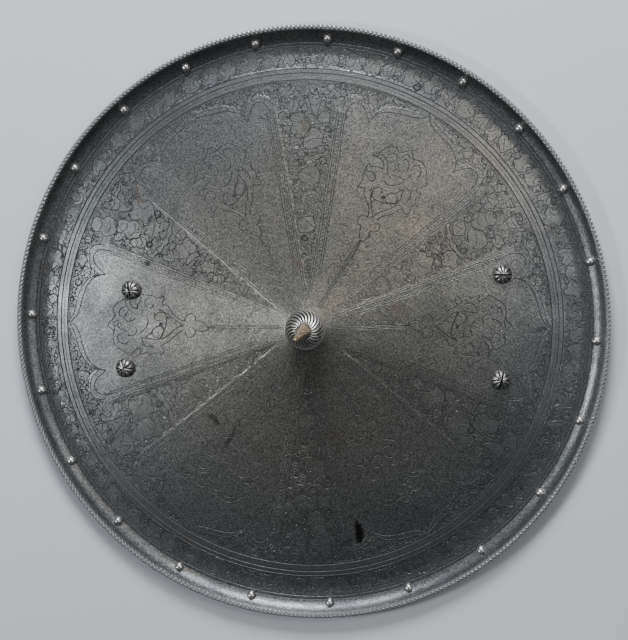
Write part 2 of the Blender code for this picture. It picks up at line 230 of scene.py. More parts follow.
# Flower of each panel: three lines of stem from the spike outwards, a calyx with two round lobes, and jagged
# leaves about a palmette. Each point is given across the panel's axis and out along it.
FLOWER_LINES = (
    [(4.3, 96.7), (-0.4, 99.7), (-3.2, 105.1), (-4.2, 110.2), (-4.2, 110.2), (-8.2, 110.6), (-10.4, 112.8),
     (-10.7, 116.3), (-8.3, 119.6), (-6.1, 120.7), (-3.3, 120.2)],
    [(4.3, 96.7), (6, 101.9), (6.4, 106.2), (5.1, 110), (5.1, 110), (7.5, 110.4), (10.6, 112.4),
     (12.2, 115.6), (11.4, 118.7), (9.3, 120.2), (6.9, 120.1)],
    [(-3.3, 120.2), (-3.9, 123.3), (-5.7, 127), (-8, 130.4), (-12.9, 134.9), (-17.5, 138.4), (-18.8, 142),
     (-19.3, 144.5), (-19.3, 144.5), (-21.7, 143.9), (-24.5, 143.1), (-27.2, 143.4), (-27.2, 143.4),
     (-26, 145.9), (-25.3, 148.5), (-25.6, 151.2), (-26.9, 154.2), (-27.8, 157.3), (-27.7, 160.2),
     (-28.6, 163.8), (-28, 166.4), (-27.1, 168.1), (-27.1, 168.1), (-25.3, 165.7), (-21.5, 166.8),
     (-17.9, 168.3), (-14.2, 167.7), (-14.2, 167.7), (-14.5, 171.3), (-16.7, 174.3), (-20.4, 176),
     (-24.5, 176.5), (-29.1, 176.8), (-29.1, 176.8), (-26.5, 179.1), (-23.6, 181.8), (-22, 185.1),
     (-19.5, 188.6), (-16, 191.4), (-12.3, 191.9), (-9.7, 190.6), (-7.7, 189.7), (-7.7, 189.7),
     (-5.3, 190.6), (-3, 192.7), (-0.3, 195.2), (2.3, 196.7), (4.4, 195.1), (5.9, 193.1), (8.6, 190.7),
     (8.6, 190.7), (12.1, 192.3), (16.3, 192.5), (20.6, 191.6), (23.9, 188.6), (26.7, 184.8),
     (29.7, 181.2), (31.3, 177.8), (28.7, 174.7), (25.7, 171.2), (24.4, 167.6), (24.4, 167.6),
     (26.8, 166.5), (30.7, 168.6), (30.7, 168.6), (29.8, 164), (27.8, 160.9), (30.1, 158.5), (29.6, 155.3),
     (28, 150.7), (29.6, 147.3), (28.7, 144.6), (28.7, 144.6), (25.8, 143.9), (21.7, 146.1), (21.7, 146.1),
     (19.5, 142.6), (16.5, 137.2), (12.3, 131.9), (7.9, 126.9), (5.7, 122.6)],
    [(13.8, 164.4), (14.3, 160.1), (14.8, 155.2), (15.5, 151), (14.8, 146), (13.3, 141.4), (9.8, 136),
     (5.3, 131.3), (2.4, 126), (0.4, 121.4), (0.4, 121.4), (0.6, 123.5), (-2, 126.7), (-5, 130.9),
     (-7.4, 134.2), (-9.9, 137.6), (-11.4, 141.5), (-13.4, 143.9), (-13.4, 146.9)],
    [(-7, 134.4), (-5.6, 138.1), (-0.3, 138.9), (4.7, 140.5), (9.6, 142.5), (14.8, 146)],
    [(2.1, 144.8), (2.6, 148), (5.3, 151.7), (9.6, 154.7), (11.6, 158.3), (14, 160.5)],
    [(2.6, 144), (5.3, 141.5), (9.3, 142.9), (13.5, 146.2), (13.5, 150.2), (11.3, 152.8), (7.9, 153.4)],
    [(-0.4, 142.7), (-1.3, 144.3), (-0.1, 145.7), (1.5, 145), (1.4, 143.1), (-0.4, 142.7)],
    [(-5.9, 138.5), (-8.8, 139.3), (-11.1, 142.8), (-11.4, 146.7), (-8.8, 149.8)],
    [(-3.6, 145.6), (-3.8, 149), (-6.5, 150.8), (-10.4, 150.7)],
    [(-25.5, 177.2), (-21.1, 180.3), (-17.1, 179.1), (-13.4, 176.5), (-10.2, 172.3), (-8.4, 167.4)],
    [(-15.7, 181.7), (-12.8, 185.5), (-8.5, 186), (-6.2, 183.5), (-7.5, 180.1), (-10.8, 177.8)],
    [(-3, 186.5), (-1.4, 189.9), (1.2, 191.4), (4, 190.2), (6.5, 190.5)],
    [(-0.2, 183.6), (0.8, 187.1), (4.2, 186.2), (6.9, 182.6), (7.8, 178)],
    [(10.9, 185.1), (13, 187.7), (17.4, 187.6), (20, 184.8), (20.5, 180.5), (17.9, 177.6)],
    [(-4, 169.8), (-2, 174.4), (-2.2, 179), (-5, 180.9)],
    [(3.3, 169.4), (8.3, 169), (12.2, 172.6), (12, 177.1)],
    [(-25.2, 159.5), (-21.9, 161.4), (-18, 160.3), (-15.5, 156.9), (-16.2, 153), (-19.4, 152.8)],
    [(-7, 158.8), (-2.4, 156.8), (2.5, 158.4), (7.3, 162.5), (9.8, 166.4)],
    [(16.4, 163.8), (21, 162.4), (22.7, 157.8), (22.1, 152.7)],
)
STEM_START, STEM_END = 23, 94
STEM_OFFSETS = (-1.5, 0, 1.5)
STEM_LEAN, STEM_STRAIGHT = 0.04, 50
MIRRORED_PANELS = (0, 3, 4)
SPRIGS_AT = (46, 58, 70, 82)
SPRIG_CURL = ((2.6, 0), (5.4, 2.4), (6.6, 6), (4.6, 7.4), (3.8, 5))
for number, axis in enumerate(PANEL_AXES):
    hand = -1 if number in MIRRORED_PANELS else 1
    for points in FLOWER_LINES:
        curve = smooth(points)
        draw(polar(axis, hand * curve[:, 0], curve[:, 1]))
    for offset in STEM_OFFSETS:
        out = np.linspace(STEM_START, STEM_END + (4 if offset == 0 else 0), 9)
        across = offset + STEM_LEAN * hand * np.maximum(out - STEM_STRAIGHT, 0)
        draw(polar(axis, across, out), width=FINE_WIDTH, depth=FINE_DEPTH)
    for out in SPRIGS_AT:
        for side in (-1, 1):
            curve = smooth([(side * across, out + along) for across, along in SPRIG_CURL])
            draw(polar(axis, curve[:, 0], curve[:, 1]), width=FINE_WIDTH, depth=FINE_DEPTH)


def mirrored(half):
    """An outline from its right half, whose ends lie on its axis."""
    return half + [(-x, y) for x, y in reversed(half) if x]


# Figures of the trophies and the foliage, each drawn in a circle of radius 1: an outline, and the lines in it
TROPHIES = {
    "shield": (
        [(-0.78, 0.9), (-0.78, 0.9), (-0.3, 0.78), (0, 0.95), (0.3, 0.78), (0.78, 0.9), (0.78, 0.9),
         (0.72, 0.1), (0.42, -0.6), (0, -1), (0, -1), (-0.42, -0.6), (-0.72, 0.1)],
        [[(-0.45, 0.55), (-0.1, 0.2), (0.4, -0.3)]]),
    "helmet": (
        [(-0.9, -0.35), (-0.9, -0.35), (-0.72, 0.35), (-0.3, 0.8), (0.15, 0.95), (0.6, 0.65), (0.78, 0.1),
         (0.62, -0.3), (0.95, -0.62), (0.95, -0.62), (0.3, -0.5), (-0.4, -0.62)],
        [[(-0.7, -0.05), (0, 0.12), (0.7, -0.05)]]),
    "cuirass": (
        [(-0.35, 0.9), (-0.35, 0.9), (0, 0.66), (0.35, 0.9), (0.35, 0.9), (0.75, 0.75), (0.62, 0.3),
         (0.78, -0.1), (0.5, -0.45), (0.72, -0.9), (0.72, -0.9), (0, -0.78), (-0.72, -0.9), (-0.72, -0.9),
         (-0.5, -0.45), (-0.78, -0.1), (-0.62, 0.3), (-0.75, 0.75)],
        [[(0, 0.55), (0, -0.35)], [(-0.45, -0.45), (0, -0.36), (0.45, -0.45)]]),
    "heart": (
        mirrored([(0, 0.45), (0, 0.45), (0.4, 0.85), (0.88, 0.55), (0.7, -0.1), (0, -0.95), (0, -0.95)]),
        [[(-0.45, 0.45), (-0.2, 0), (0.05, -0.5)], [(0.42, 0.42), (0.3, 0.05), (0.1, -0.2)]]),
    "drum": (
        [(-0.8, 0.55), (-0.8, 0.55), (0, 0.75), (0.8, 0.55), (0.8, 0.55), (0.8, -0.55), (0.8, -0.55),
         (0, -0.75), (-0.8, -0.55), (-0.8, -0.55)],
        [[(-0.7, 0.3), (-0.7, 0.3), (-0.3, -0.4), (-0.3, -0.4), (0.1, 0.35), (0.1, 0.35), (0.6, -0.4)]]),
    "banner": (
        [(-0.95, 0.5), (-0.95, 0.5), (-0.45, 0.75), (0.1, 0.45), (0.95, 0.7), (0.95, 0.7), (0.6, 0.1),
         (0.9, -0.5), (0.9, -0.5), (0.1, -0.7), (-0.4, -0.4), (-0.95, -0.65), (-0.95, -0.65)],
        [[(-0.75, 0), (-0.4, 0.2), (0.1, -0.1), (0.5, 0.05)]]),
    "torso": (
        [(-0.22, 1), (-0.22, 1), (0.22, 1), (0.22, 1), (0.6, 0.72), (0.5, 0.2), (0.78, -0.2),
         (0.45, -0.92), (0, -1), (-0.45, -0.92), (-0.78, -0.2), (-0.5, 0.2), (-0.6, 0.72)],
        [[(-0.3, 0.3), (0, 0.15), (0.3, 0.3)], [(-0.5, -0.3), (0, -0.5), (0.5, -0.3)]]),
    "horn": (
        [(-0.6, 0.9), (-0.6, 0.9), (0.05, 0.8), (0.7, 0.95), (0.7, 0.95), (0.42, 0.1), (0.14, -0.95),
         (0.14, -0.95), (-0.2, -0.5), (-0.42, 0.3)],
        [[(-0.4, 0.55), (0, 0.45), (0.45, 0.6)], [(-0.3, 0.05), (0, -0.02), (0.28, 0.1)]]),
}
PALMETTE = (
    mirrored([(0, -1), (0, -1), (0.3, -0.6), (0.75, -0.65), (0.95, -0.2), (0.7, 0.05), (0.95, 0.35),
              (0.7, 0.75), (0.35, 0.7), (0, 1), (0, 1)]),
    [[(0, -0.6), (0.1, 0), (0, 0.55)], [(-0.15, -0.35), (-0.55, 0.1)], [(0.2, -0.3), (0.55, 0.15)]])
LEAF = (
    mirrored([(0, -1), (0, -1), (0.25, -0.5), (0.7, -0.45), (0.7, -0.45), (0.45, -0.1), (0.85, 0.1),
              (0.85, 0.1), (0.4, 0.3), (0.5, 0.65), (0.5, 0.65), (0.18, 0.6), (0, 1), (0, 1)]),
    [[(0, -0.7), (0.05, 0), (0, 0.6)]])
SPRIG = (
    mirrored([(0, -1), (0, -1), (0.2, -0.3), (0.85, -0.1), (0.45, 0.3), (0.3, 0.8), (0, 0.5)]),
    [])
LOZENGE = (mirrored([(0, -0.9), (0, -0.9), (0.5, 0), (0, 0.9), (0, 0.9)]), [])
BODY = (
    [(-0.1, -1), (-0.1, -1), (0.5, -0.85), (0.9, -0.3), (0.62, 0.05), (0.95, 0.5), (0.45, 0.9),
     (-0.1, 0.7), (-0.5, 0.98), (-0.95, 0.45), (-0.7, -0.05), (-0.92, -0.55), (-0.45, -0.8)],
    [[(0.5, -0.45), (0.15, -0.1), (0.35, 0.35), (0.7, 0.45)]])


def scroll_figure(turn, thickness):
    """A curling leaf: a band that swells and tapers along a shrinking spiral."""
    share = np.linspace(0, 1, 9)
    angle = -0.6 + turn * share
    out = 0.84 - 0.5 * share
    middle = np.stack([out * np.cos(angle), out * np.sin(angle)], axis=-1)
    half = (thickness * np.sin(pi * np.clip(share, 0.04, 0.93)) ** 0.7)[:, None]
    along = np.gradient(middle, axis=0)
    across = np.stack([-along[:, 1], along[:, 0]], axis=-1) / np.linalg.norm(along, axis=1, keepdims=True)
    side = np.concatenate([middle + across * half, (middle - across * half)[::-1]])
    return [tuple(point) for point in side], []


CURL = scroll_figure(4.6, 0.2)
HOOK = scroll_figure(3.2, 0.26)


def stamp(figure, place, size, turn):
    """Draws a figure of that radius at a place of the face, turned, and keeps the ground off it."""
    outline, inner = figure
    across = np.array([[cos(turn), sin(turn)], [-sin(turn), cos(turn)]]) * size
    walked = smooth([np.array(point) @ across for point in outline], closed=True) + place
    draw(walked, closed=True, width=FINE_WIDTH)
    figures.append(settle(walked))
    for points in inner:
        curve = smooth([np.array(point) @ across for point in points])
        draw(curve + place, width=FINE_WIDTH, depth=FINE_DEPTH)


CLOSENESS = 0.86
STROKE_CLEAR = 1.25
STROKE_TRIES = 6


def strew(field, sizes, choose, draws, tries, taken=()):
    """Scatters figures over a field, the largest first, as close together as they go."""
    dense = smooth(field, 2.0, closed=True)
    low, high = field.min(0), field.max(0)
    places = [np.array(place) for place, _ in taken]
    reaches = [reach for _, reach in taken]
    for size in sizes:
        spots = draws.uniform(low, high, (tries, 2))
        spots = spots[is_inside(spots, field)]
        for spot in spots:
            if np.min(np.linalg.norm(dense - spot, axis=1)) < size * 0.94:
                continue
            if places:
                gaps = np.linalg.norm(np.array(places) - spot, axis=1)
                if np.min(gaps - (np.array(reaches) + size) * CLOSENESS) < 0.2:
                    continue
            places.append(spot)
            reaches.append(size)
            figure, turn = choose(size, spot, draws)
            stamp(figure, spot, size, turn)
    places, reaches = np.array(places), np.array(reaches)
    drawn = np.concatenate([points for points, *_ in lines[-1200:]])
    drawn = drawn[((drawn > low - 8) & (drawn < high + 8)).all(axis=1)]
    for _ in range(tries * STROKE_TRIES):
        spot = draws.uniform(low, high)
        if np.min(np.linalg.norm(drawn - settle(spot[None]), axis=1)) < STROKE_CLEAR:
            continue
        if not is_inside(spot[None], field)[0] or np.min(
            np.linalg.norm(places - spot, axis=1) - reaches * 0.8
        ) < 0:
            continue
        turn, length, bend = draws.uniform(0, 2 * pi), draws.uniform(2.2, 4.4), draws.uniform(0.5, 1.1)
        along, aside = np.array([cos(turn), sin(turn)]), np.array([-sin(turn), cos(turn)])
        shares = np.array([-1, -0.35, 0.35, 1])[:, None]
        curve = spot + along * shares * length / 2 + aside * (bend * (1 - shares**2) - bend / 2)
        if is_inside(curve, field).all():
            moved = settle(curve)
            if np.min(np.linalg.norm(drawn[:, None] - moved[None], axis=2)) > STROKE_CLEAR * 0.72:
                draw(curve, width=FINE_WIDTH, depth=FINE_DEPTH)
                drawn = np.concatenate([drawn, moved])


def outward(spot):
    return np.arctan2(spot[1], spot[0]) - pi / 2


def choose_trophy(size, spot, draws):
    """Arms and small shields stand head outwards. The smallest gaps take leaves and curls."""
    if size > 4.6 and draws.uniform() < 0.5:
        name = draws.choice([name for name in sorted(TROPHIES) if name != "heart" or size < 8])
        return TROPHIES[name], outward(spot) + draws.uniform(-0.6, 0.6)
    curls = (CURL, HOOK, LEAF, PALMETTE, BODY, BODY) if size > 3.6 else (SPRIG, LOZENGE, HOOK)
    return curls[draws.integers(len(curls))], draws.uniform(0, 2 * pi)


def choose_foliage(size, spot, draws):
    if size > 7:
        large = (BODY, PALMETTE, BODY, CURL, TROPHIES["heart"])[draws.integers(5)]
        return large, outward(spot) + draws.choice((0, pi)) + draws.uniform(-0.5, 0.5)
    leaves = (CURL, HOOK, LEAF, PALMETTE, BODY) if size > 3.4 else (SPRIG, LOZENGE, HOOK)
    return leaves[draws.integers(len(leaves))], draws.uniform(0, 2 * pi)


# Bands of trophies: a garland hangs across each, with a large piece of armour beyond it
TROPHY_SIZES = (12.6, 10.4, 8.8, 7.6, 6.6, 5.8, 5.0, 4.3, 3.7, 3.2, 2.7, 2.3, 2.0)
BAND_HALF = STRIP_ANGLE - radians(0.5)
GARLAND_OUT, GARLAND_SAG, GARLAND_HALF = 166, 7, 2.1
for number, axis in enumerate(BAND_AXES):
    out = np.linspace(30, BAND_END, 24)
    half = np.maximum(out * BAND_HALF - 4.6, 0.6)
    left, right = polar(axis, -half, out), polar(axis, half, out)[::-1]
    field = np.concatenate([left, right])
    fields.append(settle(field))
    draws = np.random.default_rng(40 + number)
    reach = GARLAND_OUT * BAND_HALF - 5.4
    across = np.linspace(-reach, reach, 9)
    sag = GARLAND_OUT - GARLAND_SAG * (1 - (across / reach) ** 2) + draws.uniform(-3, 3)
    edge = GARLAND_HALF * (0.6 + 0.4 * np.cos(np.arange(9) * pi))
    garland = np.concatenate(
        [polar(axis, across, sag + edge + 1), polar(axis, across, sag - edge - 0.6)[::-1]]
    )
    walked = smooth(garland, closed=True)
    draw(walked, closed=True, width=FINE_WIDTH)
    figures.append(settle(walked))
    taken = [(place, GARLAND_HALF) for place in polar(axis, across, sag)]
    for side, reach, name in ((-1, 196, "torso"), (1, 214, "horn")):
        place, size = polar(axis, side * 7.5 + draws.uniform(-2, 2), reach + draws.uniform(-3, 3)), 12.4
        stamp(TROPHIES[name], place, size, outward(place) + draws.uniform(-0.3, 0.3))
        taken.append((place, size * 0.82))
    strew(field, TROPHY_SIZES, choose_trophy, draws, 420, taken)

# Border of foliage: large leaves that nearly fill its width, with curls strewn between them
BORDER_INNER, BORDER_OUTER = RINGS[-1] + 1.2, EDGE_RINGS[0] - 1.6
SECTORS = 12
for sector in range(SECTORS):
    first, last = 2 * pi * sector / SECTORS, 2 * pi * (sector + 1) / SECTORS
    angles = np.linspace(first, last, 18)
    arc = np.stack([np.cos(angles), np.sin(angles)], axis=-1)
    field = np.concatenate([arc * BORDER_INNER, arc[::-1] * BORDER_OUTER])
    fields.append(settle(field))
    sizes = (9.4, 8.6, 7.4, 6.2, 5.2, 4.4, 3.7, 3.1, 2.6, 2.2)
    strew(field, sizes, choose_foliage, np.random.default_rng(80 + sector), 300)

# Spandrels between the panels' ends and the rings
for number, field in enumerate(spandrels):
    fields.append(settle(field))
    strew(field, (5.6, 4.6, 3.7, 3.0, 2.4, 1.9), choose_foliage, np.random.default_rng(120 + number), 260)


# The mesh of the sheet: the drawing's lines are cut into the face as grooves, and the ground is sunk
FACE_EDGE = 275.0
FACE_EDGE_COUNT = 416
POLISH = 1.1
LATTICE = 11.0
LATTICE_CLEAR = 2.2
CAP_CLEAR = 1.7
LIP_RINGS = 4
STRANDS = 416
STRAND_STEPS = 4
ROPE_RINGS = 8
ROPE_DEPTH = 0.9
ROPE_LEAN = 2.6
BACK_SIDES = 128
BACK_RADII = (261.54, 240, 215, 190, 165, 140, 115, 90, 65, 45, 30, 20, 12.5, 8.5)


def groove_points():
    """The middle and both edges of every line, the middles' joins, and the middles walked closely."""
    middles, joins, edges, rails, dense = [], [], [], [], []
    count = 0
    for points, closed, width, depth in lines:
        along = np.roll(points, -1, 0) - np.roll(points, 1, 0) if closed else np.gradient(points, axis=0)
        across = np.stack([-along[:, 1], along[:, 0]], axis=-1)
        across /= np.maximum(np.linalg.norm(across, axis=1, keepdims=True), 1e-9)
        middles.append(points)
        long_steps = np.linalg.norm(points[1] - points[0]) > 2 * LINE_STEP
        for shift in (-width / 2, width / 2):
            (rails if long_steps else edges).append(points + across * shift)
        numbers = np.arange(len(points)) + count
        pairs = np.stack([numbers, np.roll(numbers, -1)], axis=-1)
        joins.append(pairs if closed else pairs[:-1])
        count += len(points)
        after = np.roll(points, -1, 0) if closed else points[1:]
        start = points if closed else points[:-1]
        steps = np.maximum(np.ceil(np.linalg.norm(after - start, axis=1) / DENSE_STEP), 1).astype(int)
        repeated = np.repeat(np.arange(len(start)), steps)
        share = np.concatenate([np.arange(n) / n for n in steps])[:, None]
        walked = start[repeated] + (after - start)[repeated] * share
        if not closed:
            walked = np.concatenate([walked, points[-1:]])
        dense.append(np.column_stack([walked, np.full((len(walked), 2), (width / 2, depth))]))
    return np.concatenate(middles), np.concatenate(joins), np.concatenate(edges), rails, np.concatenate(dense)


def tree_of(points):
    tree = KDTree(len(points))
    for number, (x, y) in enumerate(points[:, :2]):
        tree.insert((x, y, 0), number)
    tree.balance()
    return tree


def nearest(tree, points):
    found = [tree.find((x, y, 0)) for x, y in points[:, :2]]
    return np.array([place[2] for place in found]), np.array([place[1] for place in found])


def thin_out(points, gap):
    """Leaves one point where several lie closer than the gap."""
    _, kept = np.unique(np.round(points / gap).astype(int), axis=0, return_index=True)
    return points[np.sort(kept)]


def end_caps(points):
    """A point just beyond each end of a line that nothing else lies near, so that the groove ends there."""
    tree = tree_of(points)
    found = []
    for walked, closed, width, _ in lines:
        if closed:
            continue
        for end, before in ((walked[0], walked[1]), (walked[-1], walked[-2])):
            along = (end - before) / max(np.linalg.norm(end - before), 1e-9)
            x, y = end + along * CAP_CLEAR
            if tree.find((x, y, 0))[2] > CAP_CLEAR * 0.7:
                found.append(end + along * width * 0.55)
    return np.array(found)


def face_mesh():
    """Points and triangles of the face, and how far each point is etched, sunk ground or smooth figure."""
    middles, joins, edges, rails, dense = groove_points()
    tree = tree_of(dense)
    for rail in rails:
        distance, number = nearest(tree, rail)
        kept = distance > dense[number, 2] * 0.93
        numbers = np.arange(len(rail)) + len(middles)
        after = np.roll(numbers, -1)
        whole = kept & np.roll(kept, -1) & (
            np.linalg.norm(rail - np.roll(rail, -1, 0), axis=1) < 2 * STRAIGHT_STEP
        )
        joins = np.concatenate([joins, np.stack([numbers, after], axis=-1)[whole]])
        middles = np.concatenate([middles, rail])
    distance, number = nearest(tree, edges)
    edges = thin_out(edges[distance > dense[number, 2] * 0.93], 0.25)
    count = round(2 * FACE_EDGE / LATTICE)
    rows, columns = np.mgrid[-count:count + 1, -count:count + 1]
    lattice = np.stack(
        [(columns + rows % 2 / 2) * LATTICE, rows * LATTICE * sqrt(0.75)], axis=-1
    ).reshape(-1, 2)
    reach = np.linalg.norm(lattice, axis=1)
    lattice = lattice[(reach < FACE_EDGE - 3) & (reach > FOOT_RADIUS)]
    distance, _ = nearest(tree, lattice)
    lattice = lattice[distance > LATTICE_CLEAR]
    rim = circle(FACE_EDGE, 2 * pi * FACE_EDGE / FACE_EDGE_COUNT)[:FACE_EDGE_COUNT]
    hole = circle(TANG_HOLE, 1.9)
    caps = end_caps(np.concatenate([middles, edges, lattice]))
    points = np.concatenate([middles, edges, lattice, caps, rim, hole, circle(FOOT_RADIUS, 2.6)])
    made = delaunay_2d_cdt(
        [Vector(point) for point in points], [tuple(pair) for pair in joins.tolist()], [], 0, 1e-4, False
    )
    flat = np.array([tuple(point) for point in made[0]])
    triangles = np.array([(face[0], *pair) for face in made[2] for pair in zip(face[1:], face[2:])])
    centres = np.linalg.norm(flat[triangles].mean(axis=1), axis=1)
    triangles = triangles[centres > TANG_HOLE * 0.97]
    distance, number = nearest(tree, flat)
    etched_and_gap_shade = np.clip(1 - distance / dense[number, 2], 0, 1)
    ground, body = np.zeros(len(flat)), np.zeros(len(flat))
    for outline, value in [(field, 1) for field in fields] + [(figure, 0) for figure in figures]:
        low, high = outline.min(0), outline.max(0)
        near = np.flatnonzero(((flat >= low) & (flat <= high)).all(axis=1))
        near = near[is_inside(flat[near], outline)]
        ground[near], body[near] = value, 1 - value
    from_rings = np.linalg.norm(flat - RING_CENTRE, axis=1)
    body[(from_rings > RINGS[0]) & (from_rings < RINGS[-1])] = POLISH
    height = face_height(np.linalg.norm(flat, axis=1)) - etched_and_gap_shade * dense[number, 3] - ground * GROUND_DEPTH
    return np.column_stack([flat, height]), triangles, {
        "etched_and_gap_shade": etched_and_gap_shade, "ground": ground, "body": body, "wear_and_glint": np.zeros(len(flat)),
    }


def around(radius, angles, height):
    """Points about the shield's or a piece's axis, at those distances, angles and heights."""
    heights = np.broadcast_to(height, len(angles))
    return np.stack([radius * np.cos(angles), radius * np.sin(angles), heights], axis=-1)


def even_angles(count):
    return np.arange(count) * 2 * pi / count


def ring(points, radius, height, angles):
    """Adds a ring of points and gives their numbers."""
    first = sum(len(part) for part in points)
    points.append(around(radius, angles, height))
    return np.arange(first, first + len(angles))


def bridge(points, first, second):
    """Triangles between two rings that may have different numbers of points."""
    sorted_rings = []
    for numbers in (first, second):
        angles = np.arctan2(points[numbers, 1], points[numbers, 0]) % (2 * pi)
        order = np.argsort(angles)
        sorted_rings.append((numbers[order], np.append(angles[order], angles[order][0] + 2 * pi)))
    (here, here_angles), (there, there_angles) = sorted_rings
    faces, i, j = [], 0, 0
    while i < len(here) or j < len(there):
        if j == len(there) or (i < len(here) and here_angles[i + 1] <= there_angles[j + 1]):
            faces.append((here[i % len(here)], there[j % len(there)], here[(i + 1) % len(here)]))
            i += 1
        else:
            faces.append((here[i % len(here)], there[j % len(there)], there[(j + 1) % len(there)]))
            j += 1
    return faces


def rope_rings(points):
    """The roll, filed into strands that slant across it, from the face's side over the top to the back's."""
    middle_radius = SHIELD_RADIUS - ROLL_RADIUS
    middle_height = lip_point(LIP_TURN, 0)[1] + ROLL_RADIUS * cos(ROLL_HALF_MOUTH) * sin(LIP_TURN)
    count = STRANDS * STRAND_STEPS
    bulge = np.tile(np.abs(np.sin(pi * np.arange(STRAND_STEPS) / STRAND_STEPS)) ** 0.7, STRANDS)
    found, rope_gap_shade = [], []
    for step in range(ROPE_RINGS):
        share = step / (ROPE_RINGS - 1)
        angle = pi + LIP_TURN - ROLL_HALF_MOUTH - share * (2 * pi - 2 * ROLL_HALF_MOUTH)
        depth = ROPE_DEPTH * min(1, 6 * share, 6 * (1 - share))
        reach = ROLL_RADIUS - depth * (1 - bulge)
        angles = (np.arange(count) / STRAND_STEPS + ROPE_LEAN * share) * 2 * pi / STRANDS
        height = middle_height + reach * sin(angle)
        found.append(ring(points, middle_radius + reach * cos(angle), height, angles))
        # The gaps between the strands are marked for painted shade.
        rope_gap_shade.append((1 - bulge) * min(1, depth / ROPE_DEPTH))
    # The strands' tops are marked for wear and a painted glint.
    return found, {"etched_and_gap_shade": np.concatenate(rope_gap_shade), "wear_and_glint": np.tile(bulge**2, ROPE_RINGS)}


def shade(mesh, sharp):
    """Turns the faces outwards, and shades them smoothly except over sharp edges."""
    work = bmesh.new()
    work.from_mesh(mesh)
    bmesh.ops.recalc_face_normals(work, faces=work.faces)
    work.to_mesh(mesh)
    work.free()
    mesh.shade_smooth()
    mesh.set_sharp_from_angle(angle=sharp)
    return mesh


def sheet_mesh():
    face, triangles, marked = face_mesh()
    points = [face]
    rim = np.flatnonzero(np.abs(np.linalg.norm(face[:, :2], axis=1) - FACE_EDGE) < 1e-3)
    hole = np.flatnonzero(np.abs(np.linalg.norm(face[:, :2], axis=1) - TANG_HOLE) < 1e-3)
    rings = [rim]
    start = asin((FACE_EDGE - LIP_START) / (LIP_BEND - SHEET / 2))
    for step in range(1, LIP_RINGS):
        radius, height = lip_point(start + (LIP_TURN - start) * step / LIP_RINGS, SHEET / 2)
        rings.append(ring(points, radius, height, even_angles(FACE_EDGE_COUNT)))
    before_rope = sum(len(part) for part in points)
    strands, rope_shade_wear_and_glint = rope_rings(points)
    rings += strands
    for step in range(LIP_RINGS - 1, -1, -1):
        radius, height = lip_point(LIP_TURN * step / LIP_RINGS, -SHEET / 2)
        rings.append(ring(points, radius, height, even_angles(BACK_SIDES)))
    for radius in BACK_RADII:
        height = face_height(radius) - SHEET * np.hypot(1, cone_slope(radius) if radius < CONE_RADIUS else 0)
        rings.append(ring(points, radius, height, even_angles(BACK_SIDES // (1 if radius > 60 else 4))))
    height = face_height(TANG_HOLE) - SHEET * hypot(1, cone_slope(TANG_HOLE))
    rings.append(ring(points, TANG_HOLE, height, even_angles(len(hole))))
    rings.append(hole)
    points = np.concatenate(points)
    faces = triangles.tolist()
    for first, second in zip(rings, rings[1:]):
        faces += bridge(points, first, second)
    mesh = bpy.data.meshes.new("shield_plate_etched")
    mesh.from_pydata((points * MM).tolist(), [], faces)
    for name, values in marked.items():
        attribute = mesh.attributes.new(name, "FLOAT", "POINT")
        values = np.concatenate([values, np.zeros(len(points) - len(values))])
        # The rope's marks: painted shade in its gaps, and wear with a painted glint on its strands' tops.
        if name in rope_shade_wear_and_glint:
            values[before_rope:before_rope + len(rope_shade_wear_and_glint[name])] = rope_shade_wear_and_glint[name]
        attribute.data.foreach_set("value", values.astype(np.float32))
    return shade(mesh, radians(14))


def new_object(name, data):
    made = bpy.data.objects.new(name, data)
    bpy.context.scene.collection.objects.link(made)
    return made


def add_piece(name, mesh, material, slot, *stands_for, place=Matrix.Identity(4)):
    """A piece of the shield that is shown in place of its solids. Its slot is not used."""
    mesh.transform(place)
    mesh.materials.clear()
    mesh.materials.append(material)
    piece = new_object(name, mesh)
    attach(piece, "root")
    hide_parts(*stands_for)


def new_material(name, roughness=0.5, metallic=0.0):
    material = bpy.data.materials.new(name)
    material.use_nodes = True
    shader = material.node_tree.nodes["Principled BSDF"]
    shader.inputs["Roughness"].default_value = roughness
    shader.inputs["Metallic"].default_value = metallic
    return material, material.node_tree, shader


def node(tree, kind, links=None, **settings):
    """A node with its settings, and its inputs either linked or set."""
    made = tree.nodes.new(kind)
    for name, value in settings.items():
        setattr(made, name, value)
    for key, value in (links or {}).items():
        socket = made.inputs[key]
        if isinstance(value, bpy.types.NodeSocket):
            tree.links.new(value, socket)
        else:
            socket.default_value = value
    return made


def maths(tree, operation, *values):
    return node(tree, "ShaderNodeMath", dict(enumerate(values)), operation=operation).outputs[0]


def times(tree, first, second):
    return maths(tree, "MULTIPLY", first, second)


def plus(tree, first, second):
    return maths(tree, "ADD", first, second)


def minus(tree, first, second):
    return maths(tree, "SUBTRACT", first, second)


def shaded(tree, colour, factor):
    """A colour made darker, lighter or tinted by a factor."""
    return node(tree, "ShaderNodeVectorMath", {0: colour, 1: factor}, operation="MULTIPLY").outputs[0]


def blend(tree, factor, first, second):
    """One colour over another by a factor."""
    values = {0: factor, 6: first, 7: second}
    return node(tree, "ShaderNodeMix", values, data_type="RGBA", clamp_factor=True).outputs[2]


def band_of(tree, value, low, high, to_low=0.0, to_high=1.0):
    """Maps a value between two limits smoothly on to two others."""
    values = {"Value": value, "From Min": low, "From Max": high, "To Min": to_low, "To Max": to_high}
    return node(tree, "ShaderNodeMapRange", values, interpolation_type="SMOOTHSTEP").outputs["Result"]


def object_place(tree):
    return node(tree, "ShaderNodeTexCoord").outputs["Object"]


def noise(tree, place, scale, detail, roughness=0.5):
    values = {"Vector": place, "Scale": scale, "Detail": detail, "Roughness": roughness}
    return node(tree, "ShaderNodeTexNoise", values).outputs["Fac"]


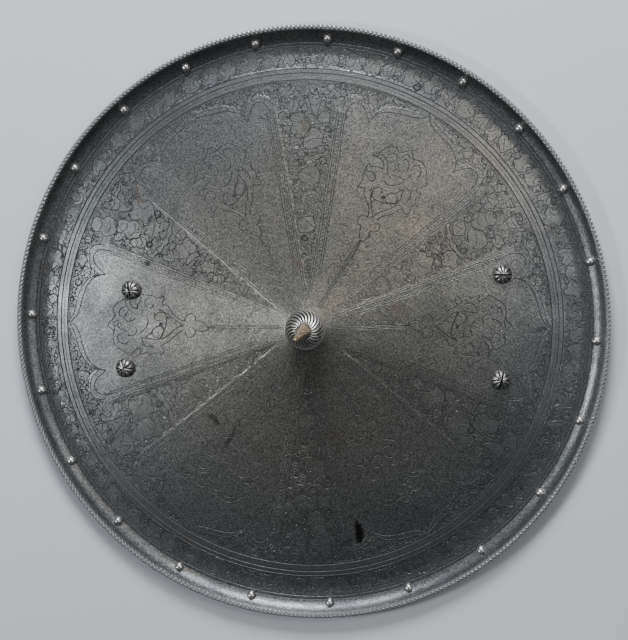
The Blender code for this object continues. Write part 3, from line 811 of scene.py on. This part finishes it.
def mark_of(tree, name):
    """A value that the mesh carries at each of its points or faces."""
    return node(tree, "ShaderNodeAttribute", attribute_name=name).outputs["Fac"]


def add_bump(tree, shader, height, strength, distance):
    made = node(tree, "ShaderNodeBump", {"Height": height, "Strength": strength, "Distance": distance})
    tree.links.new(made.outputs[0], shader.inputs["Normal"])


def new_group(name, inputs, outputs):
    """A shader node group with named inputs and outputs. An input is a colour where its value is a tuple."""
    tree = bpy.data.node_groups.new(name, "ShaderNodeTree")
    for label, value in inputs.items():
        kind = "NodeSocketColor" if isinstance(value, tuple) else "NodeSocketFloat"
        tree.interface.new_socket(label, in_out="INPUT", socket_type=kind).default_value = value
    for label, kind in outputs.items():
        tree.interface.new_socket(label, in_out="OUTPUT", socket_type=kind)
    return tree, tree.nodes.new("NodeGroupInput").outputs, tree.nodes.new("NodeGroupOutput").inputs


def use_group(tree, group, values):
    return node(tree, "ShaderNodeGroup", values, node_tree=group).outputs


def old_steel_group():
    """Old steel: cloudy patina over a bare colour, fine pitting, and the unevenness that the hammer left."""
    tree, given, result = new_group(
        "old_steel",
        {
            "Bare": (0.3, 0.3, 0.3, 1), "Patina": (0.1, 0.1, 0.1, 1), "Patina Share": 0.5,
            "Cloud Size": 30.0, "Pit Size": 900.0, "Roughness": 0.4,
        },
        {"Color": "NodeSocketColor", "Roughness": "NodeSocketFloat", "Height": "NodeSocketFloat"},
    )
    place = object_place(tree)
    cloud = noise(tree, place, given["Cloud Size"], 6.0, 0.62)
    pits = noise(tree, place, given["Pit Size"], 3.0, 0.7)
    cloudy = band_of(tree, cloud, 0.34, 0.68)
    uneven = minus(tree, cloudy, 0.5)
    share = plus(tree, given["Patina Share"], times(tree, uneven, 0.55))
    colour = blend(tree, share, given["Bare"], given["Patina"])
    speck = band_of(tree, pits, 0.36, 0.66, 0.72, 1.22)
    tree.links.new(shaded(tree, colour, speck), result["Color"])
    tree.links.new(plus(tree, given["Roughness"], times(tree, uneven, 0.12)), result["Roughness"])
    tree.links.new(times(tree, pits, 0.5), result["Height"])
    return tree


def mark_group():
    """A long spot on the face, where rust or a spill has stained it: 1 in its middle, and 0 off it."""
    tree, given, result = new_group(
        "stain_mark",
        {"Across": 0.0, "Up": 0.0, "Turn": 0.0, "Half Length": 0.01, "Half Width": 0.004},
        {"Mask": "NodeSocketFloat"},
    )
    place = object_place(tree)
    ragged = minus(tree, noise(tree, place, 240.0, 3.0), 0.5)
    parts = node(tree, "ShaderNodeSeparateXYZ", {0: place}).outputs
    across = minus(tree, parts["X"], given["Across"])
    up = minus(tree, parts["Y"], given["Up"])
    cosine, sine = maths(tree, "COSINE", given["Turn"]), maths(tree, "SINE", given["Turn"])
    along = plus(tree, times(tree, across, cosine), times(tree, up, sine))
    aside = minus(tree, times(tree, up, cosine), times(tree, across, sine))
    along = maths(tree, "DIVIDE", along, given["Half Length"])
    aside = maths(tree, "DIVIDE", aside, given["Half Width"])
    off = maths(
        tree, "SQRT", plus(tree, maths(tree, "POWER", along, 2.0), maths(tree, "POWER", aside, 2.0))
    )
    off = plus(tree, off, times(tree, ragged, 1.6))
    tree.links.new(band_of(tree, off, 0.55, 1.25, 1.0, 0.0), result["Mask"])
    return tree


old_steel = old_steel_group()
stain_mark = mark_group()

BARE_STEEL = (0.238, 0.234, 0.218, 1)
DARK_PATINA = (0.098, 0.1, 0.099, 1)
BODY_STEEL = (0.205, 0.204, 0.194, 1)
# Painted light: tints for a painted sheen in the middle of the plate and a painted bluish reflection towards
# its border.
MIDDLE_SHEEN_TINT = (1.14, 1.11, 1.03, 1)
BORDER_REFLECTION_TINT = (0.85, 0.88, 0.93, 1)
GROUND_COLOUR = (0.07, 0.069, 0.064, 1)
# Black of the etched lines; on the rope it is painted shade in the gaps between the strands.
ETCH_BLACK_AND_GAP_SHADE = (0.008, 0.0075, 0.007, 1)
# Light steel of the rope's strand tops: worn, and a painted glint.
ROPE_WEAR_AND_GLINT = (0.46, 0.46, 0.45, 1)
RUST_COLOUR = (0.12, 0.07, 0.042, 1)
BLACK_MARK = (0.012, 0.011, 0.01, 1)
MARKS = (
    ((47, -203), 95, 13, 4.2, 0.95),
    ((-94, -92), 140, 9, 3.2, 0.6),
    ((-78, -112), 60, 14, 2.4, 0.5),
    ((-159, 58), 0, 2.6, 2.6, 0.8),
    ((222, -3), 20, 6, 3, 0.5),
    ((36, -214), 30, 6, 3, 0.35),
)


PLATE_ROUGHNESS, PLATE_METALLIC = 0.36, 0.78


def plate_material():
    material, tree, shader = new_material("etched_plate_steel", PLATE_ROUGHNESS, PLATE_METALLIC)
    steel = use_group(tree, old_steel, {
        "Bare": BARE_STEEL, "Patina": DARK_PATINA, "Patina Share": 0.45, "Cloud Size": 14.0,
        "Pit Size": 620.0, "Roughness": PLATE_ROUGHNESS,
    })
    etched_and_gap_shade, ground, body, ridge_wear_and_glint = [mark_of(tree, name) for name in ("etched_and_gap_shade", "ground", "body", "wear_and_glint")]
    place = object_place(tree)
    grained = band_of(tree, noise(tree, place, 680.0, 2.0, 0.75), 0.38, 0.62, 0.55, 1.28)
    smoother = times(tree, times(tree, body, 0.4), minus(tree, 1.0, grained))
    grained = plus(tree, grained, smoother)
    stipple = node(tree, "ShaderNodeTexVoronoi", {"Vector": place, "Scale": 620.0}).outputs["Distance"]
    dotted = band_of(tree, stipple, 0.2, 0.55, 0.15, 1.0)
    rubbed = noise(tree, place, 9.0, 4.0)
    kept = band_of(tree, rubbed, 0.35, 0.62, 0.45, 1.0)
    bitten = times(tree, times(tree, ground, dotted), kept)
    metal = blend(tree, times(tree, body, 0.2), steel["Color"], BODY_STEEL)
    # Painted light: the steel is painted lighter and warmer towards the middle, a painted sheen, and darker
    # and bluer towards the border, a painted reflection of a cool sky.
    away = node(tree, "ShaderNodeVectorMath", {0: place}, operation="LENGTH").outputs["Value"]
    sheen_and_reflection_tint = blend(tree, band_of(tree, away, 0.1, 0.26), MIDDLE_SHEEN_TINT, BORDER_REFLECTION_TINT)
    metal = shaded(tree, shaded(tree, metal, sheen_and_reflection_tint), grained)
    colour = blend(tree, times(tree, bitten, 0.4), metal, GROUND_COLOUR)
    # Etched lines are blackened; on the rope the same black is painted shade in the gaps between its strands.
    cut = times(tree, band_of(tree, etched_and_gap_shade, 0.04, 0.4), band_of(tree, rubbed, 0.35, 0.62, 0.64, 0.97))
    colour = blend(tree, cut, colour, ETCH_BLACK_AND_GAP_SHADE)
    tree.links.new(times(tree, minus(tree, 1.0, cut), PLATE_METALLIC), shader.inputs["Metallic"])
    # The rope's strand tops are painted lighter, as wear and a painted glint.
    colour = blend(tree, times(tree, ridge_wear_and_glint, 0.8), colour, ROPE_WEAR_AND_GLINT)
    rust = noise(tree, place, 26.0, 8.0, 0.7)
    colour = blend(tree, band_of(tree, rust, 0.6, 0.74, 0.0, 0.5), colour, RUST_COLOUR)
    normal = node(tree, "ShaderNodeNewGeometry").outputs["Normal"]
    facing = node(tree, "ShaderNodeSeparateXYZ", {0: normal}).outputs["Z"]
    on_face = band_of(tree, facing, 0.0, 0.2)
    for (across, up), turn, half_length, half_width, strength in MARKS:
        mask = use_group(tree, stain_mark, {
            "Across": across * MM, "Up": up * MM, "Turn": radians(turn), "Half Length": half_length * MM,
            "Half Width": half_width * MM,
        })["Mask"]
        mask = times(tree, mask, on_face)
        colour = blend(tree, times(tree, mask, strength), colour, BLACK_MARK)
    tree.links.new(colour, shader.inputs["Base Color"])
    rough = minus(tree, steel["Roughness"], times(tree, ridge_wear_and_glint, 0.1))
    rough = plus(tree, rough, times(tree, cut, 0.4))
    tree.links.new(rough, shader.inputs["Roughness"])
    hammer = noise(tree, place, 38.0, 2.0)
    height = plus(tree, times(tree, steel["Height"], 0.12), times(tree, hammer, 1.1))
    height = plus(tree, height, times(tree, grained, 0.09))
    height = minus(tree, height, times(tree, bitten, 0.14))
    add_bump(tree, shader, height, 0.6, 0.001)
    return material


add_piece("shield_plate_etched", sheet_mesh(), plate_material(), "plate_steel", "shield_plate")

# The lining rivets
# 23 round-headed steel rivets on the lip, about 9 mm across, that once held the edge of a cloth lining. Their
# gaps drift, as they were stepped off by eye. Each is hammered over behind the sheet.
RIVETS = 23
RIVET_RADIUS_OUT = SHIELD_RADIUS - 13.5
RIVET_HEAD_RADIUS, RIVET_HEAD_HEIGHT = 4.6, 3.4
RIVET_SHANK_RADIUS = 1.5
RIVET_TAIL_RADIUS, RIVET_TAIL_HEIGHT = 2.3, 0.6
RIVET_SIDES, RIVET_RINGS = 28, 8
FIRST_RIVET = radians(87.1)
WIDE_DRIFT, WIDE_DRIFT_TOWARDS = radians(3.2), radians(9)
NARROW_DRIFT, NARROW_DRIFT_TOWARDS = radians(1.1), radians(14)
GAP = 0.3


def place_on_face(radius, azimuth):
    """A frame on the face, its Z square to the sheet, at that distance from the middle."""
    if radius < LIP_START:
        slope = np.arctan(float(cone_slope(radius))) if radius < CONE_RADIUS else 0.0
    else:
        slope = asin((radius - LIP_START) / (LIP_BEND - SHEET / 2))
    spot = Vector((radius * cos(azimuth), radius * sin(azimuth), float(face_height(radius)))) * MM
    turn = Matrix.Rotation(azimuth, 4, "Z") @ Matrix.Rotation(-slope, 4, "Y")
    return Matrix.Translation(spot) @ turn @ Matrix.Rotation(-azimuth, 4, "Z")


def rings_mesh(name, rings, sharp=radians(40), marked=None):
    """A closed mesh from rings of points in mm, capped with a point at both ends, maybe with a mark each."""
    count = len(rings[0])
    points = np.concatenate([rings[0].mean(0)[None], *rings, rings[-1].mean(0)[None]])
    faces = []
    for row in range(len(rings) - 1):
        low, high = 1 + row * count, 1 + (row + 1) * count
        faces += [(low + i, low + (i + 1) % count, high + (i + 1) % count, high + i) for i in range(count)]
    last = 1 + (len(rings) - 1) * count
    faces += [(0, 1 + (i + 1) % count, 1 + i) for i in range(count)]
    faces += [(len(points) - 1, last + i, last + (i + 1) % count) for i in range(count)]
    mesh = bpy.data.meshes.new(name)
    mesh.from_pydata((points * MM).tolist(), [], faces)
    values = np.zeros(len(points)) if marked is None else np.concatenate([[0], *marked, [0]])
    mesh.attributes.new("cut", "FLOAT", "POINT").data.foreach_set("value", values.astype(np.float32))
    return shade(mesh, sharp)


def round_rings(profile, sides):
    """A ring for each pair of a distance from the axis and a height."""
    return [around(radius, even_angles(sides), height) for radius, height in profile]


def rivet_mesh(azimuth, draws):
    """A domed, slightly uneven head whose edge follows the hollow of the lip, and a shank with its tail."""
    angles = even_angles(RIVET_SIDES)
    hollow = LIP_BEND - SHEET / 2
    outward_share = RIVET_HEAD_RADIUS * np.cos(angles - azimuth)
    seat = hollow - np.sqrt(hollow**2 - outward_share**2) + 0.02
    uneven = 1 + 0.025 * np.cos(2 * (angles - draws.uniform(0, pi)))
    uneven = uneven + 0.012 * np.cos(3 * (angles - draws.uniform(0, pi)))
    top = GAP + RIVET_HEAD_HEIGHT + hollow - sqrt(hollow**2 - RIVET_HEAD_RADIUS**2)
    rings = round_rings((
        (RIVET_TAIL_RADIUS * 0.6, -SHEET - GAP - RIVET_TAIL_HEIGHT), (RIVET_TAIL_RADIUS, -SHEET - GAP * 1.3),
        (RIVET_TAIL_RADIUS, -SHEET - GAP), (RIVET_SHANK_RADIUS, -SHEET - GAP), (RIVET_SHANK_RADIUS, GAP),
    ), RIVET_SIDES)
    for step in range(RIVET_RINGS):
        lean = pi / 2 * step / RIVET_RINGS
        reach = RIVET_HEAD_RADIUS * cos(lean) * uneven
        rings.append(around(reach, angles, seat + (top - seat) * sin(lean) ** 0.92))
    return rings_mesh("lining_rivet", rings)


def edge_light_and_wear_group():
    """Bright edges, worn and with a painted highlight, and dark corners, dirty and with painted shade, found
    from how sharply a mesh turns there.
    """
    tree, given, result = new_group(
        "edge_wear_light_and_shade",
        {
            "Color": (0.3, 0.3, 0.3, 1), "Wear And Glint": (0.6, 0.6, 0.6, 1), "Dirt And Shade": (0.02, 0.02, 0.02, 1),
            "Edge": 0.53, "Corner": 0.47, "Spread": 0.05,
        },
        {"Color": "NodeSocketColor", "Wear And Glint": "NodeSocketFloat"},
    )
    turn = node(tree, "ShaderNodeNewGeometry").outputs["Pointiness"]
    edge = band_of(tree, turn, given["Edge"], plus(tree, given["Edge"], given["Spread"]))
    inmost = minus(tree, given["Corner"], given["Spread"])
    corner = band_of(tree, turn, inmost, given["Corner"], 1.0, 0.0)
    # Edges are painted bright for wear and a painted highlight; corners dark for dirt and painted shade.
    wear_and_glint = blend(tree, times(tree, edge, 0.85), given["Color"], given["Wear And Glint"])
    tree.links.new(blend(tree, times(tree, corner, 0.9), wear_and_glint, given["Dirt And Shade"]), result["Color"])
    tree.links.new(edge, result["Wear And Glint"])
    return tree


edge_wear_light_and_shade = edge_light_and_wear_group()


def fitting_material(name, bare, patina, share, roughness, wear_and_glint, dirt_and_shade, metallic=0.95):
    """Worn steel of small fittings: rubbed bright with a painted highlight, dirty with painted shade in
    corners, rays and slots.
    """
    material, tree, shader = new_material(name, roughness, metallic)
    steel = use_group(tree, old_steel, {
        "Bare": bare, "Patina": patina, "Patina Share": share, "Cloud Size": 160.0, "Pit Size": 1400.0,
        "Roughness": roughness,
    })
    wear_and_light = use_group(tree, edge_wear_light_and_shade, {"Color": steel["Color"], "Wear And Glint": wear_and_glint, "Dirt And Shade": dirt_and_shade})
    # Painted shade in the bolts' chiselled rays and sawn slots.
    slot_and_ray_shade = maths(tree, "MAXIMUM", band_of(tree, mark_of(tree, "cut"), 0.2, 0.7), mark_of(tree, "sawn"))
    colour = blend(tree, times(tree, slot_and_ray_shade, 0.95), wear_and_light["Color"], dirt_and_shade)
    tree.links.new(colour, shader.inputs["Base Color"])
    tree.links.new(steel["Roughness"], shader.inputs["Roughness"])
    add_bump(tree, shader, steel["Height"], 0.35, 0.0004)
    return material


rivet_steel = fitting_material(
    "rivet_worn_steel", (0.62, 0.6, 0.57, 1), (0.24, 0.23, 0.22, 1), 0.35, 0.3, (0.72, 0.7, 0.67, 1),
    (0.02, 0.02, 0.02, 1), metallic=0.9,
)
for count in range(RIVETS):
    even = FIRST_RIVET - 2 * pi * count / RIVETS
    azimuth = even + WIDE_DRIFT * cos(even - WIDE_DRIFT_TOWARDS)
    azimuth += NARROW_DRIFT * cos(2 * (even - NARROW_DRIFT_TOWARDS))
    name = f"{count + 1:02d}"
    mesh = rivet_mesh(azimuth, np.random.default_rng(200 + count))
    place = place_on_face(RIVET_RADIUS_OUT, azimuth)
    add_piece(f"lining_rivet_{name}", mesh, rivet_steel, "rivet_steel", f"rivet_{name}", place=place)

# The strap bolts and their nuts
# Four domed steel bolts, 18 mm across, that held the arm straps. Ten rays are chiselled into each head, and a
# slot is sawn across it. Square nuts hold them behind the sheet.
STRAP_BOLTS = {
    "upper_left": ((-175.5, 32), radians(104)),
    "lower_left": ((-182, -44.5), radians(31)),
    "upper_right": ((185.5, 50.5), radians(0)),
    "lower_right": ((184.5, -51.5), radians(77)),
}
BOLT_HEAD_RADIUS, BOLT_HEAD_HEIGHT, BOLT_RIM_HEIGHT = 9.2, 7.6, 2.2
BOLT_RAYS, BOLT_RAY_DEPTH = 10, 0.75
BOLT_SLOT_WIDTH, BOLT_SLOT_DEPTH = 1.8, 2.4
BOLT_SHANK_RADIUS, BOLT_END = 3, 1.5
NUT_HEIGHT = 4
BOLT_SIDES, BOLT_RINGS = 120, 16


def carve(mesh, cutter):
    """Cuts one mesh with another and gives what is left."""
    block, tool = new_object("block", mesh), new_object("tool", cutter)
    boolean = block.modifiers.new("cut", "BOOLEAN")
    boolean.operation, boolean.solver, boolean.object = "DIFFERENCE", "EXACT", tool
    bpy.context.view_layer.update()
    left = bpy.data.meshes.new_from_object(block.evaluated_get(bpy.context.evaluated_depsgraph_get()))
    for thing in (block, tool):
        bpy.data.objects.remove(thing)
    return left


def bolt_mesh(slot):
    """A head like a rosette: ten petals between chiselled rays, a rounded rim, a sawn slot, and a shank."""
    angles = even_angles(BOLT_SIDES)
    ray = np.abs(np.cos(angles * BOLT_RAYS / 2)) ** 9
    end = -SHEET - 2 * GAP - NUT_HEIGHT - BOLT_END
    rings = round_rings((
        (BOLT_SHANK_RADIUS * 0.8, end), (BOLT_SHANK_RADIUS, end + 0.6), (BOLT_SHANK_RADIUS, 0.05),
        (BOLT_HEAD_RADIUS - 0.5, 0.05), (BOLT_HEAD_RADIUS - 0.1, 0.6),
        (BOLT_HEAD_RADIUS, BOLT_RIM_HEIGHT * 0.7),
    ), BOLT_SIDES)
    marked = [np.zeros(BOLT_SIDES) for _ in rings]
    dome = BOLT_HEAD_HEIGHT + GAP - BOLT_RIM_HEIGHT
    for step in range(BOLT_RINGS):
        lean = pi / 2 * step / BOLT_RINGS
        cut = BOLT_RAY_DEPTH * sin(pi * min(max((step + 0.5) / BOLT_RINGS, 0), 1)) ** 0.5 * ray
        reach = (BOLT_HEAD_RADIUS - cut * cos(lean)) * cos(lean)
        # Each ray's depth is marked, so that the material paints shade into the rays.
        marked.append(cut / BOLT_RAY_DEPTH)
        rings.append(around(reach, angles, BOLT_RIM_HEIGHT + dome * sin(lean) - cut * sin(lean)))
    mesh = rings_mesh("strap_bolt", rings, radians(30), marked)
    saw = bmesh.new()
    size = Vector((3 * BOLT_HEAD_RADIUS, BOLT_SLOT_WIDTH, 2 * BOLT_SLOT_DEPTH)) * MM
    top = Vector((0, 0, GAP + BOLT_HEAD_HEIGHT)) * MM
    turn = Matrix.Rotation(slot, 4, "Z") @ Matrix.Translation(top) @ Matrix.Diagonal((*size, 1))
    bmesh.ops.create_cube(saw, size=1, matrix=turn)
    blade = bpy.data.meshes.new("saw")
    saw.to_mesh(blade)
    saw.free()
    mesh = carve(mesh, blade)
    mesh.set_sharp_from_angle(angle=radians(30))
    across = Vector((-sin(slot), cos(slot), 0))
    # The slot's faces are marked, so that the material paints shade into the slot.
    in_slot = [
        abs(face.center.dot(across)) < (BOLT_SLOT_WIDTH / 2 + 0.01) * MM
        and face.center.z > (GAP + BOLT_HEAD_HEIGHT - BOLT_SLOT_DEPTH - 0.01) * MM for face in mesh.polygons
    ]
    mesh.attributes.new("sawn", "FLOAT", "FACE").data.foreach_set("value", np.array(in_slot, np.float32))
    return mesh


bolt_steel = fitting_material(
    "bolt_worn_steel", (0.5, 0.48, 0.46, 1), (0.13, 0.125, 0.12, 1), 0.38, 0.32, (0.62, 0.61, 0.58, 1),
    (0.008, 0.0075, 0.007, 1), metallic=0.88,
)
nut_steel = fitting_material(
    "nut_dark_steel", (0.24, 0.235, 0.23, 1), (0.07, 0.066, 0.06, 1), 0.55, 0.5, (0.4, 0.39, 0.37, 1),
    (0.02, 0.018, 0.015, 1),
)
for name, (spot, slot) in STRAP_BOLTS.items():
    spot = Vector(spot)
    place = place_on_face(spot.length, -Vector((1, 0)).angle_signed(spot))
    solid = f"strap_bolt_{name}"
    add_piece(f"slotted_bolt_{name}", bolt_mesh(slot), bolt_steel, "bolt_steel", solid, place=place)
    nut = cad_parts[f"strap_bolt_nut_{name}"]
    nut.material_slots[0].material = nut_steel

# The spike
# A fluted knob on a plain foot, with a blunt four-sided blade, all forged and filed as one. Its tang goes
# through the middle of the shield and is hammered over at the back.
FOOT_HEIGHT = 3
KNOB_RADIUS, KNOB_HALF_HEIGHT = 19.4, 15
KNOB_BOTTOM, KNOB_TOP = radians(-48), radians(64)
KNOB_FLUTES, KNOB_FLUTE_DEPTH, KNOB_TWIST = 24, 2.0, radians(95)
KNOB_RINGS, FLUTE_STEPS = 44, 8
TANG_RADIUS, TANG_HEAD_RADIUS, TANG_HEAD_HEIGHT = 4.5, 8.5, 2.4
BLADE_LENGTH, BLADE_BASE, BLADE_TIP, BLADE_POINT = 72, 10.8, 3.6, 2.2
BLADE_FACING = radians(45)
BLADE_EDGE, BLADE_BASE_EDGE = 0.5, 1.6
BLADE_RINGS = 20


def back_height(radius):
    return float(face_height(radius) - SHEET * np.hypot(1, cone_slope(radius)))


def knob_rings(foot_base, middle):
    """Tang, foot and knob from the back up. The flutes turn as they climb, and fade at both ends."""
    sides = KNOB_FLUTES * FLUTE_STEPS
    foot_top = foot_base + FOOT_HEIGHT
    plain = (
        (TANG_HEAD_RADIUS * 0.45, back_height(TANG_HEAD_RADIUS) - GAP - TANG_HEAD_HEIGHT),
        (TANG_HEAD_RADIUS * 0.8, back_height(TANG_HEAD_RADIUS) - GAP - TANG_HEAD_HEIGHT * 0.72),
        (TANG_HEAD_RADIUS, back_height(TANG_HEAD_RADIUS) - GAP),
        (TANG_RADIUS, back_height(TANG_RADIUS) - GAP),
        (TANG_RADIUS, foot_base),
        (FOOT_RADIUS, float(face_height(FOOT_RADIUS)) + 0.05),
        (FOOT_RADIUS + 0.3, float(face_height(FOOT_RADIUS)) + 0.8),
        (FOOT_RADIUS, foot_top - 0.6),
    )
    rings = round_rings(plain, sides)
    marked = [np.zeros(sides) for _ in plain]
    phase = np.arange(sides) * 2 * pi / FLUTE_STEPS
    valley = 1 - np.abs(np.cos(phase / 2)) ** 0.75
    for step in range(KNOB_RINGS):
        share = step / (KNOB_RINGS - 1)
        lean = KNOB_BOTTOM + (KNOB_TOP - KNOB_BOTTOM) * share
        height = middle + KNOB_HALF_HEIGHT * sin(lean)
        turn = -KNOB_TWIST * (height - foot_top) / (2 * KNOB_HALF_HEIGHT)
        depth = KNOB_FLUTE_DEPTH * min(1, sin(pi * min(max(share, 0.03), 0.86)) ** 0.45)
        reach = KNOB_RADIUS * cos(lean) - depth * valley
        # How deep each point lies in a flute; the material paints shade into the flutes by it.
        marked.append(valley * depth / KNOB_FLUTE_DEPTH)
        angles = even_angles(sides) + turn
        rings.append(around(reach, angles, height))
    for reach in (0.9, 0.78, 0.66):
        inner = reach * KNOB_RADIUS * cos(KNOB_TOP) - 0.7 * reach * valley
        height += 0.12
        rings.append(around(inner, angles, height))
        marked.append(valley)
        angles = angles - radians(6)
    return rings, marked


def blade_rings(base):
    """Rings of the blade: four faces, filed by hand, with their edges just broken, and a blunt end."""
    top = base + BLADE_LENGTH
    profile = [(BLADE_BASE / 2, base - KNOB_FLUTE_DEPTH)]
    for step in range(BLADE_RINGS + 1):
        share = step / BLADE_RINGS
        half = (BLADE_BASE + (BLADE_TIP - BLADE_BASE) * share) / 2
        profile.append((half, base + (BLADE_LENGTH - BLADE_POINT) * share))
    profile += [(BLADE_TIP / 2 * 0.72, top - BLADE_POINT * 0.3), (0.5, top)]
    found = []
    for half, height in profile:
        edge = min(np.interp(height, (base, top), (BLADE_BASE_EDGE, BLADE_EDGE)), half * 0.4)
        corner = [(half, half - edge), (half - edge, half)]
        square = []
        for quarter in range(4):
            turn = BLADE_FACING + quarter * pi / 2
            cosine, sine = cos(turn), sin(turn)
            square += [(x * cosine - y * sine, x * sine + y * cosine, height) for x, y in corner]
        found.append(np.array(square))
    return found


def spike_mesh():
    foot_base = float(face_height(TANG_RADIUS)) + GAP
    middle = foot_base + FOOT_HEIGHT - KNOB_HALF_HEIGHT * sin(KNOB_BOTTOM)
    rings, marked = knob_rings(foot_base, middle)
    knob = rings_mesh("knob", rings, radians(50), marked)
    blade = rings_mesh("blade", blade_rings(middle + KNOB_HALF_HEIGHT * sin(KNOB_TOP)), radians(30))
    joined = bmesh.new()
    joined.from_mesh(knob)
    joined.from_mesh(blade)
    mesh = bpy.data.meshes.new("spike_filed")
    joined.to_mesh(mesh)
    joined.free()
    mesh.set_sharp_from_angle(angle=radians(40))
    return mesh


BLADE_BROWN_FROM, BLADE_BROWN_OVER = 80, 4
# Painted shade between the knob's flutes.
FLUTE_SHADE = (0.006, 0.0055, 0.005, 1)
BLADE_BROWN = (0.55, 0.36, 0.2, 1)


def spike_material():
    """Worn bright, with a painted highlight, on the flutes' ridges, and painted shade in black between them.
    The blade is browned to a warm tan.
    """
    material, tree, shader = new_material("spike_browned_steel", 0.34, 0.95)
    steel = use_group(tree, old_steel, {
        "Bare": (0.5, 0.47, 0.43, 1), "Patina": (0.2, 0.17, 0.14, 1), "Patina Share": 0.35,
        "Cloud Size": 120.0, "Pit Size": 1500.0, "Roughness": 0.32,
    })
    wear_and_light = use_group(tree, edge_wear_light_and_shade, {
        "Color": steel["Color"], "Wear And Glint": (0.85, 0.81, 0.74, 1), "Dirt And Shade": (0.012, 0.01, 0.009, 1),
        "Edge": 0.51, "Corner": 0.49, "Spread": 0.04,
    })
    flute_shaded = blend(tree, band_of(tree, mark_of(tree, "cut"), 0.2, 0.6), wear_and_light["Color"], FLUTE_SHADE)
    height = node(tree, "ShaderNodeSeparateXYZ", {0: object_place(tree)}).outputs["Z"]
    brown_all = (BLADE_BROWN_FROM + BLADE_BROWN_OVER) * MM
    brown = band_of(tree, height, BLADE_BROWN_FROM * MM, brown_all)
    colour = blend(tree, times(tree, brown, 0.85), flute_shaded, BLADE_BROWN)
    tree.links.new(colour, shader.inputs["Base Color"])
    tree.links.new(steel["Roughness"], shader.inputs["Roughness"])
    add_bump(tree, shader, steel["Height"], 0.4, 0.0005)
    return material


add_piece("spike_filed", spike_mesh(), spike_material(), "spike_steel", "spike")

# The camera
# A long lens about 3 m above the lying shield, 9 degrees off its axis towards its upper right.
CAMERA_DISTANCE = 3.0
CAMERA_LEAN, CAMERA_TOWARDS = radians(8.6), radians(45)
CAMERA_AIM = Vector((3.0, 4.2, 13)) * MM
SENSOR, FRAME_TALL = 36, 640
PIXELS_PER_MM = 1.0306
towards = Vector(
    (sin(CAMERA_LEAN) * cos(CAMERA_TOWARDS), sin(CAMERA_LEAN) * sin(CAMERA_TOWARDS), cos(CAMERA_LEAN))
)
right = Vector((0, 1, 0)).cross(towards).normalized()
camera = new_object("camera", bpy.data.cameras.new("camera"))
camera.data.sensor_width = SENSOR
camera.data.lens = SENSOR * CAMERA_DISTANCE / MM / (FRAME_TALL / PIXELS_PER_MM)
turned = Matrix((right, towards.cross(right), towards)).transposed().to_4x4()
camera.matrix_world = Matrix.Translation(CAMERA_AIM + towards * CAMERA_DISTANCE) @ turned
bpy.context.scene.camera = camera

# The floor and the light
# A plain pale floor, a wide light beyond the shield's top, and three weaker ones, to its left, to its right
# and at its upper right.
FLOOR_SIZE = 12
floor_mesh = bpy.data.meshes.new("floor")
corners = [(x * FLOOR_SIZE / 2, y * FLOOR_SIZE / 2, 0) for x, y in ((-1, -1), (1, -1), (1, 1), (-1, 1))]
floor_mesh.from_pydata(corners, [], [(0, 1, 2, 3)])
pale, _, pale_shader = new_material("pale_floor", 0.8)
pale_shader.inputs["Base Color"].default_value = (0.62, 0.63, 0.65, 1)
floor_mesh.materials.append(pale)
floor = new_object("floor", floor_mesh)
LIGHTS = (
    ("low_top", 92, 36, 2.4, (1.1, 0.8), 84, (0.87, 0.92, 1)),
    ("warm_top", 52, 62, 2.4, (0.9, 0.9), 6.5, (1, 0.84, 0.62)),
    ("left", 184, 46, 2.4, (0.45, 0.45), 22, (0.9, 0.95, 1)),
    ("right", 12, 52, 2.4, (1.1, 1.1), 10.5, (0.88, 0.94, 1)),
)
for name, azimuth, elevation, distance, size, power, colour in LIGHTS:
    light = bpy.data.lights.new(name, "AREA")
    light.shape, light.size, light.size_y = "RECTANGLE", *size
    light.energy, light.color = power, colour
    lamp = new_object(name, light)
    azimuth, elevation = radians(azimuth), radians(elevation)
    from_middle = Vector((cos(azimuth) * cos(elevation), sin(azimuth) * cos(elevation), sin(elevation)))
    lamp.location = from_middle * distance
    lamp.rotation_mode = "QUATERNION"
    lamp.rotation_quaternion = from_middle.to_track_quat("Z", "Y")
world = bpy.data.worlds.new("studio")
world.use_nodes = True
sky = world.node_tree.nodes["Background"].inputs
sky["Color"].default_value = (0.7, 0.8, 1, 1)
sky["Strength"].default_value = 0.05
bpy.context.scene.world = world
